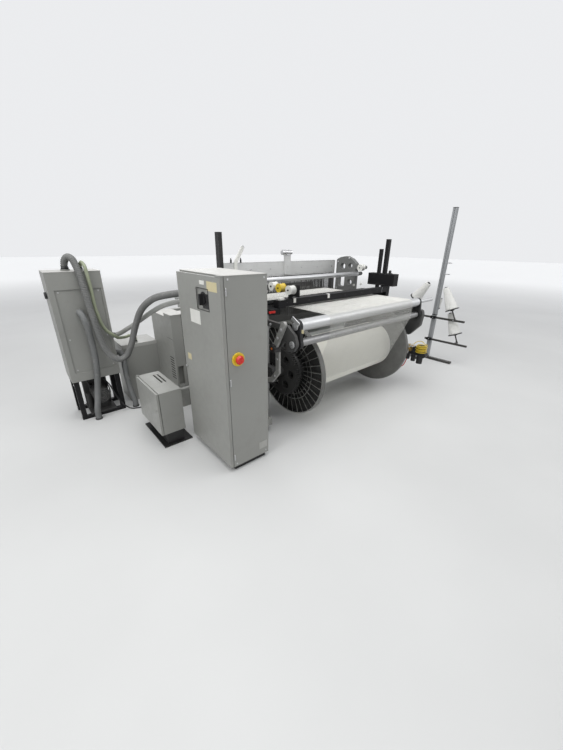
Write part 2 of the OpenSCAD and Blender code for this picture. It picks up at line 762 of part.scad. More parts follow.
module small_box_door() {
    color(cover_grey) difference() {
        block([box_x, box_y, box_bottom + 1], [box_x + small_door_t, box_back, box_top - 1]);
        for (z = [box_bottom - 3, box_top - 25.5])
            translate([small_hinge[0], small_hinge[1], z]) cylinder(h = 28.5, r = 3 + run_fit);
    }
    color(steel) bar_x(box_x - 6, box_x, [box_y + 40, 330], 9);
}

// Auxiliary cabinet with a recessed panel, a knob and a rear door
aux_knob_at = [680, 1120];
module aux_cabinet() {
    body_back = aux_back - door_t - door_seam;
    color(cover_grey) {
        difference() {
            block([aux_x, aux_y, aux_bottom], [aux_right, body_back, aux_top]);
            block([aux_x + 15, aux_y + 20, aux_bottom + 15], [aux_right - 15, body_back + 1, aux_top - 15]);
            block([aux_x + 40, aux_y - 1, aux_bottom + 80], [aux_right - 20, recess_y, aux_top - 140]);
            bar_x(aux_x - 1, aux_x + 14.5, aux_knob_at, 8 + run_fit);
        }
        for (z = [aux_bottom, aux_top - 9])
            block([aux_x + 2, body_back - 1, z], [aux_x + 60, aux_back - 2, z + 9]);
        translate([conduit_at[0], conduit_at[1], aux_top]) cylinder(h = gland_l, r = 34);
        translate([green_at[0], green_at[1], aux_top]) cylinder(h = gland_l, r = 18);
        bar_x(aux_right, aux_right + gland_l, grey_at, 27);
        bar_x(aux_right, aux_right + gland_l, floor_hose_at, 29);
        translate([drop_at[0], recess_y, drop_at[1]]) rotate([90, 0, 0]) cylinder(h = gland_l, r = 27);
    }
    color(steel) for (z = [aux_bottom + 9, aux_top - 33])
        translate([aux_x + hinge_inset, aux_back - door_t + hinge_inset, z]) cylinder(h = 24, r = hinge_r);
}
module aux_door() {
    color(cover_grey) difference() {
        block([aux_x, aux_back - door_t, aux_bottom + 10], [aux_right, aux_back, aux_top - 10]);
        for (z = [aux_bottom + 9, aux_top - 33.5])
            translate([aux_x + hinge_inset, aux_back - door_t + hinge_inset, z])
                cylinder(h = 24.5, r = hinge_r + run_fit);
    }
}
module aux_knob() {
    color(black) {
        bar_x(aux_x - 0.5, aux_x + 14, aux_knob_at, 8);
        bar_x(aux_x - knob_reach, aux_x - 0.5, aux_knob_at, 26);
    }
}
// Open stand under the auxiliary cabinet
module aux_stand() {
    leg = 40;
    color(black) {
        for (x = [aux_x + 10, aux_right - 10 - leg], y = [aux_y + 10, aux_back - 10 - leg])
            block([x, y, 0], [x + leg, y + leg, aux_bottom]);
        block([aux_x + 10 + leg, aux_y + 10, 0], [aux_right - 10 - leg, aux_y + 10 + leg, 30]);
        block([aux_x + 10 + leg, aux_back - 10 - leg, 0], [aux_right - 10 - leg, aux_back - 10, 30]);
        block([aux_x + 10 + leg, aux_back - 10 - leg, aux_bottom - 30],
            [aux_right - 10 - leg, aux_back - 10, aux_bottom]);
    }
}
// Pump with a round cowl, on the stand's rails
module pump_unit() {
    x = aux_x + aux_w / 2;
    color(dark_grey) {
        block([x - 110, aux_y + 10, 30], [x + 110, aux_back - 10, 42]);
        translate([x + 10, aux_y + 62, 190]) rotate([-90, 0, 0]) cylinder(h = 170, r = 68);
        translate([x + 10, aux_y + 46, 190]) rotate([-90, 0, 0]) cylinder(h = 16, r = 74);
        block([x - 40, aux_y + 80, 42], [x + 60, aux_y + 220, 130]);
        translate([x - 78, aux_y + 150, 42]) cylinder(h = 150, r = 26);
    }
}

// Glands and stubs that the conduit and hoses start and end on, and the gap at their faces
stub_l = 30;
gland_l = 12;
seat_gap = 0.3;
stub_end = cab_y + cab_d + stub_l + seat_gap;
top_seat = aux_top + gland_l + seat_gap;
side_seat = aux_right + gland_l + seat_gap;
floor_seat = gland_l + seat_gap;
recess_y = aux_y + 8;
conduit_at = [aux_x + 164, 640];
green_at = [aux_x + 265, 575];
green_end = [low_cover_x + 150, 700];
grey_at = [600, 735];
floor_hose_at = [610, 565];
floor_hose_end = [aux_right + 80, 525];
drop_at = [aux_x + 180, 985];
drop_end = [aux_x + 130, 482];
pump_end = [300, 24];
// Moves route points that are measured from the auxiliary cabinet's left face
function from_aux(p) = [for (q = p) [aux_x + q[0], q[1], q[2]]];
// Route of the large conduit, from the auxiliary cabinet to the main one
large_route = concat(
    from_aux([[164, 640, top_seat], [164, 640, 1350], [179, 625, 1398], [205, 585, 1420], [225, 530, 1370],
        [239, 480, 1210], [251, 462, 1003], [273, 455, 760], [325, 448, 600], [389, 430, 540]]),
    [[-1745, 380, 620], [-1680, 300, 850], [-1640, 180, 1015], [-1590, 40, 1110], [-1530, -130, 1160],
        [-1452, -255, 1180], [cab_x + 110, stub_end + 40, 1180], [cab_x + 110, stub_end, 1180]]);
module large_conduit() { color(dark_grey) sweep(smooth(large_route, 45), 24); }
// Routes of the slim hoses and of the two ducts to the floor
green_route = concat(
    from_aux([[265, 575, top_seat], [265, 575, 1348], [274, 548, 1378], [284, 512, 1356], [288, 498, 1290],
        [292, 493, 1180], [298, 491, 980], [347, 503, 806], [403, 512, 748]]),
    [[-1775, 565, 712], [-1700, 625, 692], [-1625, 690, 678], [-1590, 700, 645],
        [green_end[0], green_end[1], low_cover_top + gland_l + seat_gap]]);
grey_route = [[side_seat, grey_at[0], grey_at[1]], [aux_right + 40, 600, 735], [-1690, 500, 800],
    [-1620, 350, 890], [-1560, 180, 985], [-1500, -20, 1070], [-1400, -200, 1115],
    [cab_x + 190, stub_end + 40, 1125], [cab_x + 190, stub_end, 1125]];
drop_route = concat([[drop_at[0], recess_y - gland_l - seat_gap, drop_at[1]]],
    from_aux([[180, 500, 985], [189, 466, 950], [201, 462, 880], [207, 472, 780], [203, 482, 500],
        [155, 482, 200], [130, 482, 60], [130, 482, floor_seat]]));
floor_route = concat([[side_seat, floor_hose_at[0], floor_hose_at[1]]],
    from_aux([[430, 610, 565], [458, 602, 515], [455, 585, 430], [453, 568, 300], [463, 540, 150],
        [475, 525, 60], [475, 525, floor_seat]]));
// Cable of the pump, over the floor to a gland in the end cover
pump_route = concat(
    from_aux([[208, 700, 258.4], [208, 700, 290], [245, 680, 318], [290, 610, 270], [309, 540, 195],
        [335, 512, 120], [375, 492, 50], [415, 480, 14], [485, 455, 7]]),
    [[-1640, 445, 7], [-1560, 400, 7], [-1500, 340, 9], [-1460, 308, 17],
        [cover_x - gland_l - 22, pump_end[0], pump_end[1]], [cover_x - gland_l - seat_gap, pump_end[0], pump_end[1]]]);
module slim_hoses() {
    color([0.62, 0.66, 0.45]) sweep(smooth(green_route, 32), 12, 8);
    color(frame_grey) {
        sweep(smooth(grey_route, 42), 20, 8);
        sweep(smooth(drop_route, 42), 20, 8);
        sweep(smooth(floor_route, 42), 22, 8);
        for (at = [drop_end, floor_hose_end]) translate(at) cylinder(h = gland_l, r = 30);
    }
    color(black) sweep(smooth(pump_route, 25), 6, 8);
}

// Creel: post on its feet, and two arms that carry the cones' spindles
arm_w = 24;
arm_x = creel_x - creel_post / 2 - arm_w;
module creel_arm(y0, y1, z) { block([arm_x, y0, z], [arm_x + arm_w, y1, z + arm_w]); }
module creel_stand() {
    p = creel_post / 2;
    slot_w = 8;
    color(frame_grey) difference() {
        block([creel_x - p, creel_y - p, 30], [creel_x + p, creel_y + p, creel_top]);
        block([creel_x - slot_w / 2, creel_y - p - 1, arm_high + arm_w + 20],
            [creel_x + slot_w / 2, creel_y - p + 7, creel_top + 1]);
        block([creel_x - p - 1, creel_y - slot_w / 2, arm_high + arm_w + 20],
            [creel_x - p + 7, creel_y + slot_w / 2, creel_top + 1]);
    }
    color(dark_grey) {
        creel_arm(-1045, -140, arm_high);
        creel_arm(-stop_bar_y - 16, creel_y + 60, arm_low);
        for (c = cones) block([min(arm_x, c[0][0] - arm_w / 2), c[0][1] - arm_w / 2, c[0][2] - arm_w],
            [max(arm_x + arm_w, c[0][0] + arm_w / 2), c[0][1] + arm_w / 2, c[0][2]]);
        block([creel_x - 25, -975, 0], [creel_x + 25, creel_y + 420, 30]);
        block([creel_x - 180, creel_y + 60, 0], [creel_x + foot_reach, creel_y + 110, 30]);
        block([inner_right + frame_t / 2 + foot_r + 0.2, rear_foot_y - 20, 0], [creel_x - 25, rear_foot_y + 20, 12]);
    }
    color(steel) for (c = cones) on_spindle(c) {
        translate([0, 0, -10]) cylinder(h = 30, r = 11);
        translate([0, 0, 15]) cylinder(h = stem(c) - 20, r = 8);
        translate([0, 0, stem(c) - 9]) cylinder(h = 8.5, r = c[3]);
        translate([0, 0, stem(c) - 2]) cylinder(h = c[2] + 12, r = 6);
    }
}
foot_reach = 183;
// Each weft cone: the foot of its spindle, the middle of its base, its length and the disc's radius
cones = [[[creel_x, -164, arm_high + arm_w], [creel_x, -314, 840], cone_l * 0.88, cone_r],
    [[arm_x + arm_w / 2, -921, arm_high + arm_w], [arm_x + arm_w / 2, -857, 752], cone_l, cone_r],
    [[creel_x + 35, -984, arm_low + arm_w], [creel_x + 35, -937, 420], cone_l * 0.97, cone_r],
    [[creel_x + 60, -603, arm_high + arm_w], [creel_x + 60, -628, 735], cone_l * 0.42, cone_r * 0.32]];
function stem(c) = norm(c[1] - c[0]);
module on_spindle(c) {
    aim = (c[1] - c[0]) / stem(c);
    translate(c[0]) rotate([0, acos(aim[2]), atan2(aim[1], aim[0])]) children();
}
module weft_cones() {
    color(white) for (c = cones) on_spindle(c) translate([0, 0, stem(c)]) difference() {
        cylinder(h = c[2], r1 = c[3] * 0.9, r2 = c[3] * 0.42 + 2);
        translate([0, 0, -1]) cylinder(h = c[2] + 2, r = 6 + run_fit);
    }
}

// Bracket and pins of the three left spools, standing on the black bar
module spool_bracket() {
    color(black) {
        profile_x(spool_face, spool_face + 10) {
            strip(concat(spool_at, [[stop_y - 10, stop_top + 18]]), 36);
            polygon(rect([stop_y - 25, stop_top], [stop_y + 20, stop_top + 30]));
        }
        block([spool_face, stop_y - 25, stop_top], [spool_face + 60, stop_y + 25, stop_top + 6]);
    }
    color(steel) for (s = spool_at) bar_x(spool_face - spool_l - 10, spool_face, s, spool_pin_r);
}
module spool(at, x0) {
    difference() {
        union() {
            bar_x(x0, x0 + spool_l, at, spool_r - 8);
            bar_x(x0, x0 + 4, at, spool_r);
            bar_x(x0 + spool_l - 4, x0 + spool_l, at, spool_r);
        }
        bar_x(x0 - 1, x0 + spool_l + 1, at, spool_pin_r + run_fit);
    }
}
module spool_1() { color(white) spool(spool_at[0], spool_face - spool_l - 1); }
module spool_2() { color([0.8, 0.65, 0.1]) spool(spool_at[1], spool_face - spool_l - 1); }
module spool_3() { color(white) spool(spool_at[2], spool_face - spool_l - 1); }
module right_spool() { color(white) spool(right_spool_at, inner_right - spool_l + 9); }

// Grey castings on the right frame, with the arm of the right spool
module right_guide_block() {
    color(frame_grey) profile_x(inner_right + 10, inner_right + 70) difference() {
        union() {
            polygon(rounded([[-125, frame_top], [172, frame_top], [172, 1370], [110, 1395],
                [20, 1409], [-60, 1380], [-125, 1330]], [3, 3, 20, 20, 30, 20, 20]));
            strip([[-90, 1291], right_spool_at], 40);
            strip([[-90, 1200], tube_at], 44);
        }
        hole([-45, 1300], 30);
        hole([70, 1290], 38);
        hole([-50, 1110], 34);
        polygon(rounded(rect([30, 1050], [130, 1190]), 20));
    }
    color(steel) bar_x(inner_right - spool_l, inner_right + 10, right_spool_at, spool_pin_r);
}
// Black box and posts of the right selvedge device
module selvedge_box() {
    x = inner_right + 66;
    color(black) {
        block([x, -620, 1104], [x + 90, -280, 1235]);
        block([x + 4, -500, frame_top], [x + 44, -460, 1596]);
        block([x + 4, -420, frame_top], [x + 40, -388, 1495]);
    }
}

// Push button box at the front of the left frame
module button_box() {
    x = left_out;
    color(cover_grey) difference() {
        block([x - 70, 700, 800], [x, 900, 900]);
        for (y = [750, 840]) translate([x - 35, y, 880]) cylinder(h = 21, r = button_r - 3 + run_fit);
    }
}
module push_button(y) {
    translate([left_out - 35, y, 885]) cylinder(h = 20, r = button_r - 3);
    translate([left_out - 35, y, 905]) cylinder(h = 6, r = button_r);
}
module start_button() { color([0.1, 0.5, 0.2]) push_button(750); }
module halt_button() { color([0.75, 0.08, 0.08]) push_button(840); }

// Air service unit, valves and a coil of yellow air line on a bracket behind the right frame
air_y = [-1060, -985, -915];
module air_unit() {
    x = inner_right + 90;
    color(dark_grey) {
        block([x - 20, -1100, 400], [x + 20, frame_back, 430]);
        block([x - 20, -760, 330], [x + 20, -600, 400]);
        translate([x, air_y[2], 330]) cylinder(h = 70, r = 26);
        bar_x(x - 34, x + 34, [-1100, 415], 30);
    }
    color([0.75, 0.62, 0.1]) {
        translate([x, air_y[0], 430]) cylinder(h = 80, r = 46);
        translate([x, air_y[1], 430]) cylinder(h = 60, r = 24);
    }
    color(steel) {
        translate([x, air_y[0], 310]) cylinder(h = 90, r = 32);
        translate([x, air_y[1], 320]) cylinder(h = 80, r = 24);
        for (y = [-735, -680, -625]) translate([x, y, 430]) cylinder(h = 46, r = 18);
    }
}

// Warp beam: barrel and journals
module beam_barrel() {
    color(dark_grey) {
        bar_x(-flange_in, flange_in, [beam_y, beam_z], barrel_r);
        bar_x(journal_end_left, journal_end_right, [beam_y, beam_z], journal_r);
    }
}
// A flange: disc, rim, two stiffening rings, hub and radial ribs on its outer side
hub_out = 18;
module ring(z0, h, r, t) {
    translate([0, 0, z0]) difference() {
        cylinder(h = h, r = r, $fn = 96);
        translate([0, 0, -1]) cylinder(h = h + 2, r = r - t, $fn = 96);
    }
}
module flange() {
    web = 8;
    rib_in = flange_r * 0.34;
    rib_w = 5;
    difference() {
        union() {
            cylinder(h = web, r = flange_r, $fn = 96);
            ring(0, flange_w, flange_r, 12);
            ring(0, flange_w - 12, flange_r * 0.68, 7);
            ring(0, flange_w - 16, flange_r * 0.57, 5);
            cylinder(h = flange_w + hub_out, r1 = flange_r * 0.42, r2 = flange_r * 0.36, $fn = 64);
            for (i = [0:flange_ribs - 1]) rotate(360 / flange_ribs * i)
                translate([rib_in, -rib_w / 2, web - 1]) cube([flange_r - 10 - rib_in, rib_w, flange_w - 14]);
        }
        translate([0, 0, -1]) cylinder(h = flange_w + hub_out + 2, r = journal_r);
        translate([0, 0, flange_w - 6]) cylinder(h = hub_out + 7, r = flange_r * 0.3);
    }
}
module beam_flanges() {
    color(dark_grey) {
        translate([-flange_in, beam_y, beam_z]) rotate([0, -90, 0]) flange();
        translate([flange_in, beam_y, beam_z]) rotate([0, 90, 0]) flange();
    }
}
module yarn_package() {
    color(cream) difference() {
        bar_x(-flange_in + 1, flange_in - 1, [beam_y, beam_z], yarn_r);
        bar_x(-flange_in, flange_in, [beam_y, beam_z], barrel_r);
    }
}
module beam_gear() {
    color(dark_grey) translate([gear_x, beam_y, beam_z]) rotate([0, 90, 0]) difference() {
        union() {
            linear_extrude(gear_w) difference() {
                rotate(90) polygon(gear_points(gear_teeth, gear_module));
                for (i = [0:5]) rotate(60 * i + 30) translate([gear_pitch_r * 0.6, 0]) circle(gear_pitch_r * 0.18);
            }
            cylinder(h = gear_w + 48, r = journal_r + 30);
        }
        translate([0, 0, -1]) cylinder(h = gear_w + 60, r = journal_r);
    }
}
module let_off_pinion() {
    color(steel) {
        translate([gear_x - 2, pinion_y, beam_z]) rotate([0, 90, 0])
            linear_extrude(gear_w + 4) rotate(180 / pinion_teeth - 90) polygon(gear_points(pinion_teeth, gear_module));
        bar_x(left_out - 55, gear_x + gear_w + 10, [pinion_y, beam_z], pinion_shaft_r);
    }
}

// Backrest arms: they swing on the guide roll's journals and carry the whip roll
module backrest_arm(x0) {
    profile_x(x0, x0 + arm_t) difference() {
        union() {
            strip([[guide_y, guide_z], [whip_y, whip_z]], 84);
            translate([guide_y, guide_z]) circle(46);
        }
        hole([guide_y, guide_z], roll_journal_r + run_fit);
        hole([whip_y, whip_z], roll_journal_r + run_fit);
    }
}
module backrest_arms() {
    color(dark_grey) {
        backrest_arm(arm_left);
        backrest_arm(arm_right);
    }
}
module whip_roll() {
    color(steel) {
        bar_x(rolls_left, rolls_right, [whip_y, whip_z], whip_r);
        bar_x(arm_left - 2, whip_stub_end, [whip_y, whip_z], roll_journal_r);
    }
}
module guide_roll() {
    color(steel) {
        bar_x(rolls_left, rolls_right, [guide_y, guide_z], guide_r);
        bar_x(left_out - arm_t - 2, inner_right + 60, [guide_y, guide_z], roll_journal_r);
    }
}

// Heald frame: rails, side stays and heddles
module heald_frame(i) {
    y = heald_y + i * heald_pitch;
    step = (heald_right - heald_left - 2 * stay_w) / heddle_count;
    color(cover_grey) profile_y(y - heald_t / 2, y + heald_t / 2) difference() {
        polygon(rect([heald_left, heald_bottom], [heald_right, heald_top]));
        polygon(rect([heald_left + stay_w, heald_bottom + bottom_rail_h],
            [heald_right - stay_w, heald_top - heald_rail_h]));
    }
    color(steel) profile_y(y - heddle_t / 2, y + heddle_t / 2)
        for (k = [0:heddle_count - 1])
            translate([heald_left + stay_w + step * (k + 0.5), heald_bottom + bottom_rail_h - 2])
                square([heddle_t, heald_top - heald_rail_h - heald_bottom - bottom_rail_h + 4]);
}
// Clamp pillar and bent bracket on the first frame's top rail
module rail_fittings() {
    y = heald_y - heald_t / 2;
    color(frame_grey) {
        block([-75, y - 26, 1225], [5, y, heald_top + 60]);
        block([-75, y - 26, heald_top + 60], [5, y + heald_t, heald_top + 95]);
        for (x = [-62, -14]) translate([x, y - 10, heald_top + 94]) cylinder(h = 26, r = 7);
    }
    color(white) profile_y(y - 10, y)
        strip([[-700, 1290], [-700, heald_top + 5], [-612, 1500]], 36);
}
module heald_frame_1() { heald_frame(0); rail_fittings(); }
module heald_frame_2() { heald_frame(1); }
module heald_frame_3() { heald_frame(2); }
module heald_frame_4() { heald_frame(3); }

// Sley: rocking shaft, two swords and the sley beam that holds the reed
reed_foot = warp_z - 110;
sley_half = warp_w / 2 + 60;
module sley() {
    color(frame_grey) {
        bar_x(left_out + 10, right_out - 10, [sley_y, sley_z], sley_shaft_r);
        for (x = [-sley_half + 140, sley_half - 180])
            profile_x(x, x + 40)
                polygon([[sley_y - 60, sley_z - 20], [sley_y + 50, sley_z - 20],
                    [sley_y + 24, reed_foot - 40], [sley_y - 24, reed_foot - 40]]);
        difference() {
            block([-sley_half, sley_y - 34, reed_foot - 60], [sley_half, sley_y + 30, reed_foot + 14]);
            block([-sley_half - 1, sley_y - 4, reed_foot], [sley_half + 1, sley_y + 4, reed_foot + 20]);
        }
    }
}
module reed() {
    half = warp_w / 2 + 30;
    step = (2 * half - 20) / dent_count;
    color(steel) {
        block([-half, sley_y - 4, reed_foot], [half, sley_y + 4, reed_foot + 22]);
        block([-half, sley_y - 4, reed_foot + reed_h - 14], [half, sley_y + 4, reed_foot + reed_h]);
        for (x = [-half, half - 10])
            block([x, sley_y - 3, reed_foot + 20], [x + 10, sley_y + 3, reed_foot + reed_h - 10]);
        profile_y(sley_y - 2, sley_y + 2)
            for (k = [0:dent_count - 1])
                translate([-half + 10 + step * (k + 0.4), reed_foot + 20]) square([2, reed_h - 32]);
    }
}

// Rollers of the cloth side
module take_up_roller() {
    color(dark_grey) {
        bar_x(-inner_left + 20, inner_right - 20, [takeup_y, takeup_z], takeup_r);
        bar_x(left_out + 10, right_out - 10, [takeup_y, takeup_z], roller_journal_r);
    }
}
module press_roller() {
    color(steel) {
        bar_x(-inner_left + 20, inner_right - 20, [press_y, takeup_z], press_r);
        bar_x(left_out + 10, right_out - 10, [press_y, takeup_z], 16);
    }
}
module cloth_roll() {
    color(white) bar_x(-cloth_w / 2, cloth_w / 2, [cloth_roll_y, cloth_roll_z], cloth_roll_r);
    color(steel) bar_x(left_out + 10, right_out - 10, [cloth_roll_y, cloth_roll_z], roller_journal_r);
}

left_side_frame();
right_side_frame();
cross_beams();
rear_brackets();
let_off_case();
stop_motion_bar();
drop_wires();
support_tube();
harness_guides();
gear_case();
end_covers();
right_cover();
breast_beam();
temples();
cloth();
warp_sheet_rear();
warp_sheet_top();
main_cabinet();
small_box();
aux_cabinet();
aux_stand();
pump_unit();
large_conduit();
slim_hoses();
creel_stand();
weft_cones();
spool_bracket();
right_guide_block();
selvedge_box();
button_box();
air_unit();
beam_barrel();
beam_flanges();
yarn_package();
beam_gear();
let_off_pinion();
backrest_arms();
whip_roll();
guide_roll();
heald_frame_1();
heald_frame_2();
heald_frame_3();
heald_frame_4();
sley();
reed();
take_up_roller();
press_roller();
cloth_roll();
cabinet_door();
switch_handle();
stop_button();
small_box_door();
aux_door();
aux_knob();
spool_1();
spool_2();
spool_3();
right_spool();
start_button();
halt_button();
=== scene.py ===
"""Looks of a power loom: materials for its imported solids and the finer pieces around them."""

import json
import math
import random

import bmesh
import bpy
from mathutils import Matrix, Vector


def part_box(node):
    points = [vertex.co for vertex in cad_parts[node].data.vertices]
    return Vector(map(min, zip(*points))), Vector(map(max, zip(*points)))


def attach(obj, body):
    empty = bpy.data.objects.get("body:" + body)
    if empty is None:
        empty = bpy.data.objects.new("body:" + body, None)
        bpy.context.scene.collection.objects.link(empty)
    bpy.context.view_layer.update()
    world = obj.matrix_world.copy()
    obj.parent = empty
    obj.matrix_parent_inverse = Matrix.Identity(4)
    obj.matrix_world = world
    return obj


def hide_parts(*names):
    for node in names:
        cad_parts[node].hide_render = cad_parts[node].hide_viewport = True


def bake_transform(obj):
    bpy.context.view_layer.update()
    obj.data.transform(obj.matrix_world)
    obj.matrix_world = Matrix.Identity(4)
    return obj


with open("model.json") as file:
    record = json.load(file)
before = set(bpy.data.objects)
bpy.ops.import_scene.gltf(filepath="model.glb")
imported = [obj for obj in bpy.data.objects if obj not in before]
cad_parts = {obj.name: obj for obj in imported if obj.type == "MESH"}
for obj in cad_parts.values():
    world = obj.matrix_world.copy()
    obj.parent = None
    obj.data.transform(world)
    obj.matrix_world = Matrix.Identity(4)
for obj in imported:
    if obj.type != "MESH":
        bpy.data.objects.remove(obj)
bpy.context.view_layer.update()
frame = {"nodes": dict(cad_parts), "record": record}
NODES = frame["nodes"]
scene = bpy.context.scene
MM = 0.001
LEFT, RIGHT, FRONT, BACK, UP = (-1, 0, 0), (1, 0, 0), (0, -1, 0), (0, 1, 0), (0, 0, 1)
BEAM, GUIDE, WHIP = (-580, 479), (-975, 860), (-960, 986)  # (y, z) of the beam's and both rolls' axes
KNOB = (-795, 795)  # (y, z) of the axis of the backrest's spring and its knob
POST = (2050, -630)  # (x, y) of the creel's post


# ---- camera
def make_camera():
    """The camera that was solved from the photograph."""
    yaw, pitch, roll = (math.radians(a) for a in (40.705, 22.555, 0.642))
    right = Vector((math.cos(yaw), -math.sin(yaw), 0))
    level = Vector((math.sin(yaw), math.cos(yaw), 0))
    up = math.sin(pitch) * level + Vector((0, 0, math.cos(pitch)))
    ahead = math.cos(pitch) * level - Vector((0, 0, math.sin(pitch)))
    x_axis = math.cos(roll) * right + math.sin(roll) * up
    y_axis = -math.sin(roll) * right + math.cos(roll) * up
    data = bpy.data.cameras.new("camera")
    data.lens, data.sensor_width, data.sensor_fit = 14.97, 36, "AUTO"
    data.clip_start, data.clip_end = 0.05, 200
    camera = bpy.data.objects.new("camera", data)
    scene.collection.objects.link(camera)
    rows = [(x_axis[i], y_axis[i], -ahead[i]) for i in range(3)]
    camera.matrix_world = Matrix.Translation((-2.45, -2.56, 1.52)) @ Matrix(rows).to_4x4()
    scene.camera = camera


# ---- materials
MATERIALS = {}  # by name; each Look files its own


def rgba(colour):
    return colour if isinstance(colour, bpy.types.NodeSocket) else (*colour, 1)


def tint(colour, k):
    return tuple(min(1.0, c * k) for c in colour)


class Nodes:
    """Short names for building the node tree of a material or of the world."""

    def __init__(self, owner):
        owner.use_nodes = True
        self.tree = owner.node_tree

    def add(self, kind, **settings):
        node = self.tree.nodes.new(kind)
        for key, value in settings.items():
            setattr(node, key, value)
        return node

    def put(self, node, inputs):
        for key, value in inputs.items():
            if isinstance(value, bpy.types.NodeSocket):
                self.tree.links.new(value, node.inputs[key])
            else:
                node.inputs[key].default_value = value
        return node

    def ramp(self, value, low, high, from_=0.0, to=1.0):
        """Turns values from low to high into from_ to to."""
        ends = {"From Min": low, "From Max": high, "To Min": from_, "To Max": to}
        return self.put(self.add("ShaderNodeMapRange"), {"Value": value, **ends}).outputs["Result"]

    def math(self, operation, a, b=0.0):
        return self.put(self.add("ShaderNodeMath", operation=operation), {0: a, 1: b}).outputs[0]

    def seen(self):
        """1 for what the camera sees, itself or mirrored."""
        rays = self.add("ShaderNodeLightPath").outputs
        return self.math("MAXIMUM", rays["Is Camera Ray"], rays["Is Glossy Ray"])


class Look(Nodes):
    """One material."""

    def __init__(self, name):
        self.material = MATERIALS[name] = bpy.data.materials.new(name)
        super().__init__(self.material)
        self.shader = self.tree.nodes["Principled BSDF"]
        self.place = self.add("ShaderNodeTexCoord").outputs["Object"]

    def axes(self):
        """The place's X, Y and Z, in metres."""
        return self.put(self.add("ShaderNodeSeparateXYZ"), {0: self.place}).outputs

    def away(self, place, y, z):
        """How far a place is from the line along X through y and z."""
        offs = [self.math("SUBTRACT", place[axis], at * MM) for axis, at in (("Y", y), ("Z", z))]
        return self.math("SQRT", self.math("ADD", *(self.math("MULTIPLY", off, off) for off in offs)))

    def noise(self, scale, detail=3, rough=0.5, stretch=None):
        place = self.place
        if stretch:
            place = self.put(self.add("ShaderNodeMapping"), {"Vector": place, "Scale": stretch}).outputs[0]
        inputs = {"Vector": place, "Scale": scale, "Detail": detail, "Roughness": rough}
        return self.put(self.add("ShaderNodeTexNoise"), inputs).outputs["Fac"]

    def spots(self, noise, low=0.3, high=0.7, from_=0.0, to=1.0):
        """Noise, ramped."""
        return self.ramp(self.noise(*noise), low, high, from_, to)

    def mix(self, factor, a, b):
        """Colour a where the factor is 0, and b where it is 1."""
        node = self.add("ShaderNodeMix", data_type="RGBA")
        return self.put(node, {"Factor": factor, 6: rgba(a), 7: rgba(b)}).outputs[2]

    def rounded(self, radius, samples=4):
        """A normal that turns softly over sharp edges."""
        return self.put(self.add("ShaderNodeBevel", samples=samples), {"Radius": radius}).outputs["Normal"]

    def edges(self, radius, low, high=0.25):
        """1 along sharp edges, 0 on flat faces."""
        soft, flat = self.rounded(radius, 3), self.add("ShaderNodeNewGeometry").outputs["Normal"]
        dot = self.put(self.add("ShaderNodeVectorMath", operation="DOT_PRODUCT"), {0: soft, 1: flat})
        return self.ramp(self.math("SUBTRACT", 1.0, dot.outputs["Value"]), low, high)

    def rubbed(self, edges, noise, low, high, wear):
        """Sharp edges, where the noise lets them wear."""
        return self.math("MULTIPLY", self.edges(*edges), self.spots(noise, low, high, 0, wear))

    def finish(self, colour, rough, bump, strength, distance, soft=0.0, **fixed):
        relief = {"Height": bump, "Strength": strength, "Distance": distance}
        if soft:
            relief["Normal"] = self.rounded(soft)
        normal = self.put(self.add("ShaderNodeBump"), relief).outputs["Normal"]
        fixed = {key.replace("_", " "): value for key, value in fixed.items()}
        self.put(self.shader, {"Base Color": rgba(colour), "Roughness": rough, "Normal": normal, **fixed})
        self.material.diffuse_color = (0.5, 0.5, 0.5, 1)
        return self.material


def paint(name, colour, rough, dirt, dirt_colour=(0.16, 0.14, 0.12), wear=0.35, gloss=0.5, plinth_and_shade_top=0.0):
    """Sprayed enamel: soft mottling, grime towards the floor, orange peel and rubbed edges; where asked, a
    near-black band at the foot, partly a dark plinth and partly painted shade of the gap under the body.
    """
    n = Look(name)
    base = n.mix(n.spots((1.7, 4)), tint(colour, 0.94), tint(colour, 1.04))
    smudge = n.spots((9, 6, 0.62), 0.56, 0.78, 0, dirt)
    height = n.axes()["Z"]
    grime = n.spots((14, 5, 0.6), 0.35, 0.75, 0, dirt * 1.6)
    low = n.math("MULTIPLY", n.ramp(height, 0.45, 0.0, 0, 0.8), grime)
    base = n.mix(n.math("ADD", smudge, low), base, dirt_colour)
    base = n.mix(n.rubbed((0.003, 0.08, 0.3), (45, 4), 0.46, 0.62, wear), base, (0.45, 0.45, 0.45))
    # near-black band below the given height: partly a dark plinth, partly painted shade of the gap under the
    # cabinet
    if plinth_and_shade_top:
        foot = n.ramp(height, plinth_and_shade_top - 0.0008, plinth_and_shade_top - 0.0002, 1, 0)
        base = n.mix(foot, base, (0.014, 0.014, 0.014))
    n.finish(base, n.spots((22, 3), 0.3, 0.7, rough - 0.07, rough + 0.09), n.noise(420, 2), 0.12, 0.0006,
             0.0022, Specular_IOR_Level=gloss)


def metal(name, colour, rough=0.28, streak=(1, 120, 120), tone=0.12, spots=0.2,
          spot_colour=(0.2, 0.17, 0.14)):
    """Ground or polished steel: fine turning marks, a little tarnish."""
    n = Look(name)
    lines = n.noise(9, 4, 0.6, streak)
    base = n.mix(n.ramp(lines, 0.3, 0.7), tint(colour, 1 - tone), tint(colour, 1 + tone))
    base = n.mix(n.spots((17, 6, 0.65), 0.58, 0.8, 0, spots), base, spot_colour)
    n.finish(base, n.spots((30, 4), 0.3, 0.7, rough - 0.06, rough + 0.12), lines, 0.12, 0.0004, Metallic=1.0)


def cast(name, colour, wear):
    """Painted casting: sandy skin, bright rubbed edges."""
    n = Look(name)
    base = n.mix(n.spots((3, 5)), tint(colour, 0.8), tint(colour, 1.25))
    base = n.mix(n.rubbed((0.004, 0.07), (25, 4), 0.38, 0.6, wear), base, (0.42, 0.41, 0.39))
    n.finish(base, n.spots((12, 3), 0.3, 0.7, 0.4, 0.6), n.noise(150, 5, 0.7), 0.35, 0.0012, 0.003,
             Specular_IOR_Level=0.3)


